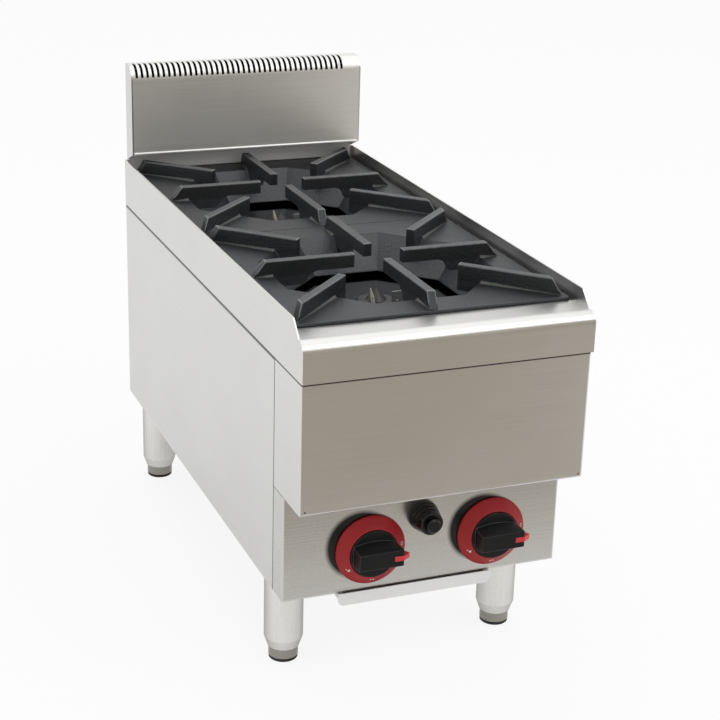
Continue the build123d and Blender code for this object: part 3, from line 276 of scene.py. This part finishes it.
def build_seam_and_shadow_line():
    """1 on a line at a given place along one axis, fading to 0 over its width; it draws dark seams and
    painted shadow lines under overhangs.
    """
    tree, given, result = new_group(
        "seam_and_shadow_line", {"Axis": (0, 0, 1), "Place": 0.0, "Width": 0.001}, ("Seam",)
    )
    core = 1.6
    along = vector_maths(tree, "DOT_PRODUCT", given["Vector"], given["Axis"])
    away = maths(tree, "ABSOLUTE", maths(tree, "SUBTRACT", along, given["Place"]))
    share = maths(tree, "DIVIDE", away, given["Width"])
    line = maths(tree, "SUBTRACT", core, multiply(tree, share, core), clamp=True)
    tree.links.new(line, result["Seam"])
    return tree


def build_round_painted_shade():
    """1 inside a round spot on the XZ face, fading to 0 over a soft rim; it masks the painted dark
    reflections of the knobs.
    """
    tree, given, result = new_group(
        "round_painted_shade", {"Centre": (0, 0, 0), "Radius": 0.03, "Softness": 0.004}, ("Shade",)
    )
    away = vector_maths(tree, "SUBTRACT", given["Vector"], given["Centre"])
    flat = vector_maths(tree, "MULTIPLY", away, (1.0, 0.0, 1.0))
    left_over = maths(tree, "SUBTRACT", given["Radius"], vector_maths(tree, "LENGTH", flat))
    shade = maths(tree, "DIVIDE", left_over, given["Softness"], clamp=True)
    tree.links.new(shade, result["Shade"])
    return tree


brush_grain = build_brush_grain()
round_painted_shade = build_round_painted_shade()
tube_grain = build_tube_grain()
edge_wear_and_highlight = build_edge_wear_and_highlight()
seam_and_shadow_line = build_seam_and_shadow_line()


# Finishes

def start_finish(name, roughness, metallic):
    material = bpy.data.materials.new(name)
    material.use_nodes = True
    tree = material.node_tree
    shader = tree.nodes["Principled BSDF"]
    shader.inputs["Roughness"].default_value = roughness
    shader.inputs["Metallic"].default_value = metallic
    place = tree.nodes.new("ShaderNodeTexCoord").outputs["Object"]
    return material, tree, shader, place


def dress(tree, shader, body, rough):
    """Links the colour and the roughness of a finish."""
    tree.links.new(body, shader.inputs["Base Color"])
    tree.links.new(rough, shader.inputs["Roughness"])


def bump(tree, shader, height, strength, distance, normal=None):
    links = [("Strength", strength), ("Distance", distance), ("Height", height)]
    if normal is not None:
        links.append(("Normal", normal))
    node = add_node(tree, "ShaderNodeBump", links)
    tree.links.new(node.outputs[0], shader.inputs["Normal"])


def lighter(colour, gain, lift):
    """A paler tone of a colour, no brighter than white."""
    return tuple(min(1, c * gain + lift) for c in colour[:3]) + (1,)


def brushed_steel(
    name, colour, roughness=0.32, grain_amount=0.07, seams=(), soot=None, metallic=1.0, rounds=()
):
    """Belt-polished stainless sheet with pale edges that are a painted highlight, dark seams, painted
    shadow lines under overhangs, painted dark reflections of the knobs and painted shade inside the
    duct.
    """
    seam_and_shadow_dark, painted_reflection_dark, soot_dark = 0.12, 0.06, 0.02
    material, tree, shader, place = start_finish(name, roughness, metallic)
    grain = use_group(tree, brush_grain, place)
    highlight_and_wear = use_group(tree, edge_wear_and_highlight, place, Radius=0.0009, Amount=0.9)
    streak = spread(tree, grain["Grain"], 1 - grain_amount, 1 + grain_amount)
    shade = multiply(tree, streak, spread(tree, grain["Clouds"], 0.96, 1.04))
    # Dark seams and painted shadow lines under overhangs
    for axis, seam_place, width in seams:
        line = use_group(tree, seam_and_shadow_line, place, Axis=axis, Place=seam_place, Width=width)
        shade = darkened(tree, shade, line["Seam"], seam_and_shadow_dark)
    # Painted dark reflections of the knobs
    for centre, radius in rounds:
        spot = use_group(tree, round_painted_shade, place, Centre=centre, Radius=radius, Softness=0.005)
        shade = darkened(tree, shade, spot["Shade"], painted_reflection_dark)
    # Painted shade inside the backguard's duct
    if soot is not None:
        shade = darkened(tree, shade, soot(tree, place), soot_dark)
    # Painted highlight: paler colour along the sheet's edges
    body = blend_colours(tree, highlight_and_wear["Highlight And Wear"], colour, lighter(colour, 1.2, 0.03))
    rough = maths(
        tree,
        "ADD",
        spread(tree, grain["Grain"], roughness * 0.8, roughness * 1.2),
        spread(tree, noise_at(tree, place, 16.0, 4.0), roughness * -0.15, roughness * 0.15),
    )
    dress(tree, shader, shaded(tree, body, shade), rough)
    bump(tree, shader, grain["Grain"], 0.6 * roughness, 0.0004)
    return material


def duct_soot(tree, place):
    """1 inside the backguard's duct, 0 on its outside skin: painted shade on the duct's inner faces."""
    sharpness = 4000.0
    inner_curve = backguard_curve - sheet_thickness
    _, y, z = split_up(tree, place)
    behind = maths(tree, "SUBTRACT", y, backguard_front + sheet_thickness)
    below = maths(tree, "SUBTRACT", backguard_top - sheet_thickness, z)
    side_y = maths(tree, "MAXIMUM", maths(tree, "SUBTRACT", inner_curve, behind), 0.0)
    side_z = maths(tree, "MAXIMUM", maths(tree, "SUBTRACT", inner_curve, below), 0.0)
    squares = maths(tree, "ADD", multiply(tree, side_y, side_y), multiply(tree, side_z, side_z))
    reach = maths(tree, "SQRT", squares)
    return multiply(tree, maths(tree, "SUBTRACT", inner_curve, reach), sharpness, clamp=True)


def upper_soot(tree, place):
    """1 on the upper part of the duct's back sheet, 0 at its foot and on its outside: painted shade
    where the shell covers it.
    """
    rise = ramp(tree, split_up(tree, place)[2], soot_start, soot_full)
    facing = split_up(tree, true_normal(tree))
    return multiply(tree, rise, maths(tree, "LESS_THAN", facing[1], 0.5))


def cast_iron(name, colour, wear_and_highlight_colour, roughness):
    """Dull black coated casting: sandy skin, walls below its plate given a paler colour as painted
    light, fins worn on top with a painted highlight on their top faces and upper edges.
    """
    plate_skin, fin_foot = support_top - 0.0008, support_top + 0.004
    material, tree, shader, place = start_finish(name, roughness, 0.0)
    shader.inputs["Specular IOR Level"].default_value = 1.0
    shader.inputs["Specular Tint"].default_value = (0.93, 0.97, 1.0, 1)
    sand = noise_at(tree, place, 950.0)
    coarse = noise_at(tree, place, 430.0)
    patches = noise_at(tree, place, 28.0, 5.0)
    highlight_and_wear = use_group(tree, edge_wear_and_highlight, place, Radius=0.0018, Amount=5.0)
    shade = multiply(tree, spread(tree, patches, 0.7, 1.3), spread(tree, coarse, -0.6, 2.6))
    height = split_up(tree, place)[2]
    # Painted light: the walls below the plate take a much paler colour
    sunk = maths(tree, "LESS_THAN", height, plate_skin)
    body = shaded(tree, blend_colours(tree, sunk, colour, lighter(colour, 3.4, 0.004)), shade)
    facing = split_up(tree, true_normal(tree))
    # Painted highlight: level faces and upper edges of the fins take the pale wear colour
    level = multiply(tree, maths(tree, "GREATER_THAN", facing[2], 0.9), 0.07)
    on_fins = maths(tree, "GREATER_THAN", height, fin_foot)
    wear_and_highlight_share = multiply(tree, on_fins, maths(tree, "MAXIMUM", highlight_and_wear["Upper Highlight And Wear"], level))
    body = blend_colours(tree, wear_and_highlight_share, body, wear_and_highlight_colour)
    dress(tree, shader, body, spread(tree, patches, roughness - 0.08, roughness + 0.12))
    rough_skin = maths(tree, "ADD", coarse, multiply(tree, sand, 0.5))
    bump(tree, shader, rough_skin, 0.5, 0.0011, highlight_and_wear["Normal"])
    return material


def moulded(name, colour, roughness, speck=0.15, gloss=0.5, edge_gain=1.5):
    """Moulded plastic with a fine grained skin and paler edges, a painted highlight."""
    material, tree, shader, place = start_finish(name, roughness, 0.0)
    shader.inputs["Specular IOR Level"].default_value = gloss
    skin = noise_at(tree, place, 1400.0, 2.0)
    smears = noise_at(tree, place, 60.0, 4.0)
    highlight_and_wear = use_group(tree, edge_wear_and_highlight, place, Radius=0.0011, Amount=1.0)
    body = shaded(tree, colour, spread(tree, smears, 1 - speck, 1 + speck))
    body = blend_colours(tree, highlight_and_wear["Highlight And Wear"], body, lighter(colour, edge_gain, 0.02))
    dress(tree, shader, body, spread(tree, smears, roughness - 0.06, roughness + 0.08))
    bump(tree, shader, skin, 0.12, 0.0002, highlight_and_wear["Normal"])
    return material


def turned_metal(name, colour, roughness, rings=1500.0, metallic=1.0):
    """Machined or drawn metal with fine marks round its axis."""
    material, tree, shader, place = start_finish(name, roughness, metallic)
    grain = use_group(tree, brush_grain, place, Length=40.0, Fineness=rings)
    streak = spread(tree, grain["Grain"], 0.88, 1.1)
    shade = multiply(tree, streak, spread(tree, grain["Clouds"], 0.94, 1.06))
    rough = spread(tree, grain["Grain"], roughness - 0.05, roughness + 0.08)
    dress(tree, shader, shaded(tree, colour, shade), rough)
    bump(tree, shader, grain["Grain"], 0.08, 0.0003)
    return material


def polished_tube(name, colour, roughness):
    """Tube polished up and down, with painted shade darkening its sides where they turn away from the
    view.
    """
    side_shade_colour = (0.25, 0.235, 0.2, 1)
    material, tree, shader, place = start_finish(name, roughness, 1.0)
    grain = use_group(tree, tube_grain, place)
    streak = spread(tree, grain["Grain"], 0.9, 1.1)
    shade = multiply(tree, streak, spread(tree, noise_at(tree, place, 22.0), 0.95, 1.05))
    # Painted shade: darker colour where the surface turns away from the view
    facing = add_node(tree, "ShaderNodeLayerWeight", [("Blend", 0.5)])
    edge = maths(tree, "POWER", facing.outputs["Facing"], 2.0)
    body = blend_colours(tree, edge, shaded(tree, colour, shade), side_shade_colour)
    dress(tree, shader, body, spread(tree, grain["Grain"], roughness - 0.05, roughness + 0.08))
    bump(tree, shader, grain["Grain"], 0.12, 0.0003)
    return material


# Each dark line, for seams and for painted shadow under overhangs: its axis, its place and its width
up_axis, depth_axis = (0.0, 0.0, 1.0), (0.0, 1.0, 0.0)
# Painted shadow: a dark line on the panels just under the bottom edges of the apron and skirts
shadow_under_rim = panel_top - 0.0014
side_seams = ((up_axis, shadow_under_rim, 0.003), (depth_axis, seam, 0.0015))
front_seams = ((up_axis, shadow_under_rim, 0.0014), (depth_axis, seam, 0.0013))
control_seams = ((up_axis, step_height, 0.0012), (depth_axis, seam, 0.0013))

# Painted dark reflections of the knobs in the control panel, beside the bezels
tap_painted_reflections = [((x - 0.0104, control_face, tap_height + 0.0062), 0.0385) for x in taps.values()]

steel = (0.78, 0.775, 0.755, 1)
finishes = {}


def finish(make, name, *values, **options):
    finishes[name] = make(name, *values, **options)


finish(brushed_steel, "brushed_sheet", steel)
finish(brushed_steel, "side_sheet", steel, seams=side_seams)
finish(brushed_steel, "front_sheet", steel, seams=front_seams)
finish(
    brushed_steel, "control_sheet", (0.7, 0.695, 0.67, 1), 0.26, seams=control_seams, rounds=tap_painted_reflections
)
# Painted light: the backguard's face takes a paler copy of the steel
finish(brushed_steel, "backguard_sheet", (0.87, 0.87, 0.85, 1), 0.42, soot=duct_soot, metallic=0.9)
finish(brushed_steel, "duct_sheet", steel, 0.6, soot=upper_soot, metallic=0.25)
finish(brushed_steel, "tray_sheet", (0.86, 0.86, 0.855, 1), 0.5, 0.04, metallic=0.35)
# Painted highlight: the rolled hem takes a paler, less metallic steel so it shows as a bright line
finish(brushed_steel, "bright_hem", (0.93, 0.93, 0.91, 1), 0.3, 0.03, metallic=0.6)
finish(brushed_steel, "inner_sheet", (0.45, 0.45, 0.44, 1), 0.42)
# Painted shade: the spill sheet under the pan supports takes a dark copy of the steel
finish(brushed_steel, "spill_sheet", (0.23, 0.23, 0.24, 1), 0.07)
finish(cast_iron, "cast_iron", (0.003, 0.0036, 0.0052, 1), (0.42, 0.42, 0.42, 1), 0.42)
# Painted highlight: the fin root beads take a paler iron than the casting, for the light their curve
# catches
finish(cast_iron, "bead_iron", (0.055, 0.053, 0.046, 1), (0.12, 0.115, 0.10, 1), 0.5)
finish(turned_metal, "cap_steel", (0.075, 0.073, 0.07, 1), 0.36)
finish(turned_metal, "probe_metal", (1.0, 0.93, 0.76, 1), 0.3, metallic=0.5)
finish(turned_metal, "steel_pipe", (0.5, 0.5, 0.49, 1), 0.35)
finish(turned_metal, "brass", (0.62, 0.47, 0.2, 1), 0.3)
finish(turned_metal, "pipe_alloy", (0.7, 0.7, 0.71, 1), 0.32)
finish(turned_metal, "bright_steel", (0.62, 0.62, 0.62, 1), 0.22)
finish(moulded, "knob_black", (0.008, 0.008, 0.0085, 1), 0.32, gloss=0.25, edge_gain=26.0)
finish(moulded, "pointer_red", (0.6, 0.02, 0.028, 1), 0.35, 0.08)
finish(moulded, "bezel_red", (0.34, 0.017, 0.02, 1), 0.42, 0.08, 0.25)
finish(moulded, "mark_white", (0.72, 0.6, 0.58, 1), 0.5, 0.05)
finish(moulded, "igniter_black", (0.0035, 0.0035, 0.004, 1), 0.18, gloss=0.4, edge_gain=18.0)
finish(polished_tube, "leg_steel", (0.9, 0.885, 0.85, 1), 0.26)
finish(turned_metal, "foot_steel", (0.38, 0.365, 0.33, 1), 0.28, 900.0)
finish(moulded, "pad_black", (0.012, 0.012, 0.012, 1), 0.5)

# Nodes whose finish is a variant of their slot's
sheet_of = {
    "side_panel_left": "side_sheet",
    "side_panel_right": "side_sheet",
    "front_panel": "front_sheet",
    "control_panel": "control_sheet",
    "backguard_shell": "backguard_sheet",
    "backguard_back": "duct_sheet",
    "drip_tray": "tray_sheet",
}

for entry in frame["record"]["subparts"]:
    target = nodes[entry["node"]]
    target.data.materials.clear()
    target.data.materials.append(finishes[sheet_of.get(entry["node"], entry["material_slot"])])


# Pieces made here

def add_piece(name, mesh, finish_name, body, replaced=(), sharp=40):
    """An object at the origin whose place is in its mesh, riding on a body."""
    bmesh.ops.remove_doubles(mesh, verts=mesh.verts, dist=0.000002)
    bmesh.ops.recalc_face_normals(mesh, faces=mesh.faces)
    for face in mesh.faces:
        face.smooth = True
    data = bpy.data.meshes.new(name)
    mesh.to_mesh(data)
    mesh.free()
    data.set_sharp_from_angle(angle=math.radians(sharp))
    data.materials.append(finishes[finish_name])
    piece = bpy.data.objects.new(name, data)
    bpy.context.scene.collection.objects.link(piece)
    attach(piece, body)
    if replaced:
        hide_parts(*replaced)


def points_in(made):
    return [item for item in made["geom"] if isinstance(item, bmesh.types.BMVert)]


def pull(mesh, faces, step_by):
    """Extrudes faces by a step and returns the new points."""
    points = points_in(bmesh.ops.extrude_face_region(mesh, geom=faces))
    bmesh.ops.translate(mesh, verts=points, vec=step_by)
    return points


def add_root_bead(mesh, centre_y, angle, side, end):
    """Concave bead in the corner between the side of a fin and the plate."""
    sunk, curve_steps, tip_share = 0.0003, 5, 0.3
    outline = [(-sunk, -sunk), (bead_size, -sunk)]
    for n in range(curve_steps + 1):
        turn = math.radians(90 / curve_steps * n)
        outline.append((bead_size * (1 - math.sin(turn)), bead_size * (1 - math.cos(turn))))
    outline.append((-sunk, bead_size))
    fin_side = fin_thickness / 2
    ring = [
        mesh.verts.new((bowl_edge, side * (fin_side + across), support_top + up))
        for across, up in outline
    ]
    face = mesh.faces.new(ring)
    far = pull(mesh, [face], (end - bowl_edge, 0, 0))
    tip = Vector((end, side * fin_side, support_top))
    bmesh.ops.scale(
        mesh, verts=far, vec=(1, tip_share, tip_share), space=Matrix.Translation(-tip)
    )
    spot = Matrix.Translation((0, centre_y, 0)) @ Matrix.Rotation(angle, 4, "Z")
    bmesh.ops.transform(mesh, matrix=spot, verts=ring + far)


def build_root_beads():
    """The casting's fillets where the fins rise from the plate."""
    fins = ("side", "corner", "end", "corner") * 2
    for row, centre_y in support_rows.items():
        mesh = bmesh.new()
        for n, fin in enumerate(fins):
            for side in (-1, 1):
                add_root_bead(mesh, centre_y, math.radians(45 * n), side, bead_ends[fin])
        body = "pan_support_" + row
        add_piece("fin_root_beads_" + row, mesh, "bead_iron", body)


def flame_outline(mesh, width, height, lean):
    """A flame: a disc drawn up to a leaning point."""
    disc_radius, taper, stretch, height_share = 0.5, 0.55, 1.9, 0.7
    made = bmesh.ops.create_circle(mesh, cap_ends=True, segments=22, radius=disc_radius)
    for point in made["verts"]:
        x, y = point.co.x, point.co.y
        if y > 0:
            rise = y / disc_radius
            x = x * (1 - taper * rise) + lean * rise * rise * disc_radius
            y = y * stretch
        point.co = (x * width, y * height * height_share, 0)
    return made["verts"]


def lay_on_bezel(points, tap_x, angle, radius):
    """Wraps flat points round the bezel's sloping face, upright on the front."""
    turn = math.radians(angle)
    for point in points:
        x = math.cos(turn) * radius + point.co.x
        z = math.sin(turn) * radius + point.co.y
        out = math.hypot(x, z)
        slope = bezel_inner_y + (out - bezel_inner) * bezel_slope
        point.co = (tap_x + x, slope - point.co.z, tap_height + z)


def build_flame_marks():
    """Printed marks on the bezels: off ring, large flame and a pair of small flames."""
    ring_outer, ring_inner, ring_shift = 0.0019, 0.0012, 0.0012
    # Each flame: width, height and lean, shift to the right and up, and angle
    flames = (
        (0.0024, 0.0034, 0.4, 0.0008, -0.0004, large_flame_at),
        (0.0014, 0.0018, 0.2, -0.0016, 0.0008, large_flame_at),
        (0.0018, 0.0026, 0.25, -0.0015, 0.0, small_flames_at),
        (0.0018, 0.0026, 0.25, 0.0015, 0.0, small_flames_at),
    )
    for side, tap_x in taps.items():
        mesh = bmesh.new()
        for width, height, lean, shift_x, shift_z, angle in flames:
            points = flame_outline(mesh, width, height, lean)
            bmesh.ops.translate(mesh, verts=points, vec=(shift_x, shift_z, 0))
            faces = list({face for point in points for face in point.link_faces})
            points = points + pull(mesh, faces, (0, 0, mark_proud))
            lay_on_bezel(points, tap_x, angle, mark_radius)
        ring = bmesh.ops.create_circle(mesh, segments=22, radius=ring_outer)["verts"]
        hole = bmesh.ops.create_circle(mesh, segments=22, radius=ring_inner)["verts"]
        edges = list({edge for point in ring + hole for edge in point.link_edges})
        faces = bmesh.ops.bridge_loops(mesh, edges=edges)["faces"]
        points = ring + hole + pull(mesh, faces, (0, 0, mark_proud))
        lay_on_bezel(points, tap_x, off_ring_at, mark_radius + ring_shift)
        add_piece("bezel_marks_" + side, mesh, "mark_white", "cooktop_body")


def add_screw(mesh, spot, shank_end):
    """A domed head, made from a flat grid rounded to a disc, on a plain shank."""
    head_radius, edge_height, dome, shank_radius = 0.004, 0.0008, 0.0014, 0.002
    cross_half, cross_reach, cross_drop, drop_scale = 0.17, 0.67, 0.55, 0.0016
    foot_drop = 3
    made = bmesh.ops.create_grid(mesh, x_segments=12, y_segments=12, size=1)["verts"]
    cross = []
    for face in list({face for point in made for face in point.link_faces}):
        x, y, _ = face.calc_center_median()
        if min(abs(x), abs(y)) < cross_half and max(abs(x), abs(y)) < cross_reach:
            cross.append(face)
    sunk = pull(mesh, cross, (0, 0, -cross_drop))
    rim = [edge for edge in mesh.edges if edge.is_boundary and edge.verts[0] in made]
    foot = points_in(bmesh.ops.extrude_edge_only(mesh, edges=rim))
    bmesh.ops.translate(mesh, verts=foot, vec=(0, 0, -foot_drop))
    bmesh.ops.holes_fill(mesh, edges=[edge for edge in mesh.edges if edge.is_boundary])
    for point in made + sunk + foot:
        x, y, depth = point.co
        round_x = x * math.sqrt(1 - y * y / 2)
        round_y = y * math.sqrt(1 - x * x / 2)
        out = min(1.0, math.hypot(round_x, round_y))
        if depth < -cross_drop - 1:
            height = 0.0
        else:
            height = edge_height + dome * math.sqrt(1 - out * out) + depth * drop_scale
        point.co = spot + Vector((round_x * head_radius, height, -round_y * head_radius))
    shank = bmesh.ops.create_cone(
        mesh,
        cap_ends=True,
        segments=20,
        radius1=shank_radius,
        radius2=shank_radius,
        depth=rear - shank_end,
    )["verts"]
    turn = Matrix.Rotation(math.radians(90), 4, "X")
    middle = Matrix.Translation((spot.x, (rear + shank_end) / 2, spot.z))
    bmesh.ops.transform(mesh, matrix=middle @ turn, verts=shank)


def build_screw_heads():
    """Domed screws with a cross recess, standing for the plain ones at the back."""
    mesh = bmesh.new()
    low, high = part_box("back_screws")
    margin, levels = 0.004, 4
    column_x = high.x - margin
    pitch = (high.z - low.z - 2 * margin) / (levels - 1)
    for column in (-column_x, column_x):
        for level in range(levels):
            add_screw(mesh, Vector((column, rear, low.z + margin + pitch * level)), low.y)
    add_piece("back_screw_set", mesh, "bright_steel", "cooktop_body", ["back_screws"])


def spin_outline(mesh, outline, steps, centre_x, centre_z):
    """Turns a closed outline of radius and depth round a level axis."""
    ring = [mesh.verts.new((r, y, 0)) for r, y in outline]
    edges = [mesh.edges.new((ring[n - 1], ring[n])) for n in range(len(ring))]
    before = set(mesh.verts) - set(ring)
    bmesh.ops.spin(
        mesh, geom=ring + edges, cent=(0, 0, 0), axis=(0, 1, 0), angle=math.tau, steps=steps,
        use_merge=True,
    )
    made = [point for point in mesh.verts if point not in before]
    bmesh.ops.translate(mesh, verts=made, vec=(centre_x, 0, centre_z))


def build_inlet():
    """Threaded gas inlet: bore, pipe thread, shoulder and hexagon."""
    mesh = bmesh.new()
    low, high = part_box("inlet_nipple")
    centre_x, centre_z = (low.x + high.x) / 2, (low.z + high.z) / 2
    bore, crest, root, shoulder = 0.0085, 0.01048, 0.00932, 0.0112
    pitch, crest_half, chamfer, run_out = 0.001814, 0.0002, 0.001, 0.0008
    shoulder_end, hexagon_end, hexagon_inner = rear + 0.002, low.y + 0.012, 0.011
    y = high.y - chamfer
    outline = [(bore, low.y), (bore, high.y), (crest - chamfer, high.y), (crest, y)]
    while y - pitch > shoulder_end + run_out:
        outline += [(crest, y - crest_half), (root, y - pitch / 2), (crest, y - pitch + crest_half)]
        y -= pitch
    outline += [(crest, shoulder_end), (shoulder, shoulder_end), (shoulder, low.y)]
    spin_outline(mesh, outline, 56, centre_x, centre_z)
    corner = (high.z - low.z) / 2 - 0.00002
    hexagon = [
        (hexagon_inner, low.y), (hexagon_inner, hexagon_end), (corner, hexagon_end), (corner, low.y)
    ]
    spin_outline(mesh, hexagon, 6, centre_x, centre_z)
    add_piece("threaded_inlet", mesh, "brass", "cooktop_body", ["inlet_nipple"], 25)


def build_hem():
    """Rolled hem along the foot of the backguard's face."""
    mesh = bmesh.new()
    radius, end_gap, drop, rounding = 0.0016, 0.0003, 0.0012, 0.0006
    length = 2 * backguard_half - 2 * end_gap
    bmesh.ops.create_cone(
        mesh, cap_ends=True, segments=20, radius1=radius, radius2=radius, depth=length
    )
    caps = [face for face in mesh.faces if len(face.verts) > 4]
    rims = list({edge for face in caps for edge in face.edges})
    bmesh.ops.bevel(
        mesh, geom=rims, offset=rounding, segments=3, profile=0.5, affect="EDGES", material=-1
    )
    spot = Matrix.Translation((0, backguard_front, backguard_foot + drop))
    turn = Matrix.Rotation(math.radians(90), 4, "Y")
    bmesh.ops.transform(mesh, matrix=spot @ turn, verts=mesh.verts)
    add_piece("backguard_hem", mesh, "bright_hem", "cooktop_body")


build_root_beads()
build_hem()
build_flame_marks()
build_screw_heads()
build_inlet()


# Floor, light and camera

def build_floor():
    """White sweep that keeps a soft shadow; polished metal sees it fade out in front and sees a painted
    shadow beside the cooktop.
    """
    camera_glow, mirrored_glow, paint = 0.86, 0.4, (0.95, 0.95, 0.95, 1)
    mesh = bmesh.new()
    bmesh.ops.create_grid(mesh, x_segments=1, y_segments=1, size=14)
    data = bpy.data.meshes.new("floor")
    mesh.to_mesh(data)
    mesh.free()
    floor = bpy.data.objects.new("floor", data)
    bpy.context.scene.collection.objects.link(floor)
    material = bpy.data.materials.new("floor_white")
    material.use_nodes = True
    tree = material.node_tree
    tree.nodes.clear()
    out = tree.nodes.new("ShaderNodeOutputMaterial")
    path = tree.nodes.new("ShaderNodeLightPath")
    mirrored = mirrored_share(tree, path)
    x, y, _ = split_up(tree, tree.nodes.new("ShaderNodeTexCoord").outputs["Object"])
    fade = ramp(tree, y, sweep_end, sweep_start)
    right = ramp(tree, x, sweep_side, sweep_side_end)
    corner = multiply(tree, right, ramp(tree, y, corner_end, corner_start))
    lit = maths(tree, "MAXIMUM", fade, corner)
    shadow_aside = ramp(tree, maths(tree, "ABSOLUTE", x), near_width, far_width, near_shadow_tone, 1.0)
    tint = blend_colours(tree, lit, room_tone, grey_of(tree, shadow_aside))
    seen_tint = blend_colours(tree, mirrored, white, tint)
    painted = blend_colours(tree, 1.0, seen_tint, paint, "MULTIPLY")
    matt = add_node(tree, "ShaderNodeBsdfDiffuse", [("Color", painted)])
    glow = add_node(tree, "ShaderNodeEmission", [("Strength", 1.0), ("Color", seen_tint)])
    share = multiply(tree, path.outputs["Is Camera Ray"], camera_glow)
    share = maths(tree, "ADD", share, multiply(tree, mirrored, mirrored_glow), clamp=True)
    mix = add_node(
        tree, "ShaderNodeMixShader", [(0, share), (1, matt.outputs[0]), (2, glow.outputs[0])]
    )
    tree.links.new(mix.outputs[0], out.inputs["Surface"])
    data.materials.append(material)


def build_world():
    """Even white light; polished metal also sees the darker room in front."""
    light_level, seen_level, mirrored_level = 0.8, 1.0, 0.88
    ahead_start, ahead_full = -0.25, -0.75
    overhead_start, overhead_full = 0.75, 0.45
    world = bpy.data.worlds.new("studio")
    bpy.context.scene.world = world
    world.use_nodes = True
    tree = world.node_tree
    path = tree.nodes.new("ShaderNodeLightPath")
    mirrored = mirrored_share(tree, path)
    _, y, z = split_up(tree, tree.nodes.new("ShaderNodeTexCoord").outputs["Generated"])
    ahead = ramp(tree, y, ahead_start, ahead_full)
    room = multiply(tree, ahead, ramp(tree, z, overhead_start, overhead_full))
    tint = blend_colours(tree, multiply(tree, room, mirrored), white, room_tone)
    seen = maths(tree, "ADD", path.outputs["Is Camera Ray"], mirrored, clamp=True)
    level = multiply(
        tree,
        spread(tree, seen, light_level, seen_level),
        spread(tree, mirrored, 1.0, mirrored_level),
    )
    fill(tree, tree.nodes["Background"], [("Color", tint), ("Strength", level)])


def add_softbox(name, place, size, power):
    light = bpy.data.lights.new(name, "AREA")
    light.shape = "RECTANGLE"
    light.size, light.size_y = size, size
    light.energy = power
    lamp = bpy.data.objects.new(name, light)
    bpy.context.scene.collection.objects.link(lamp)
    lamp.location = place
    aim = Vector(light_target) - Vector(place)
    lamp.rotation_euler = aim.to_track_quat("-Z", "Y").to_euler()


def build_camera():
    azimuth = math.radians(camera_azimuth)
    elevation = math.radians(camera_elevation)
    roll = math.radians(camera_roll)
    back = Vector(
        (
            math.sin(azimuth) * math.cos(elevation),
            -math.cos(azimuth) * math.cos(elevation),
            math.sin(elevation),
        )
    )
    right = (-back).cross(Vector((0, 0, 1))).normalized()
    up = right.cross(-back)
    turned_right = right * math.cos(roll) + up * math.sin(roll)
    turned_up = up * math.cos(roll) - right * math.sin(roll)
    camera = bpy.data.cameras.new("camera")
    camera.sensor_width = camera_sensor
    camera.lens = camera_lens
    holder = bpy.data.objects.new("camera", camera)
    bpy.context.scene.collection.objects.link(holder)
    turn = Matrix((turned_right, turned_up, back)).transposed().to_4x4()
    place = Vector(camera_target) + back * camera_distance
    holder.matrix_world = Matrix.Translation(place) @ turn
    bpy.context.scene.camera = holder


build_floor()
build_world()
add_softbox("key_light", (1.05, -1.9, 2.3), 1.6, 12)
add_softbox("top_light", (0.0, 0.5, 2.6), 3.0, 10)
build_camera()
bpy.context.scene.view_settings.view_transform = "Standard"
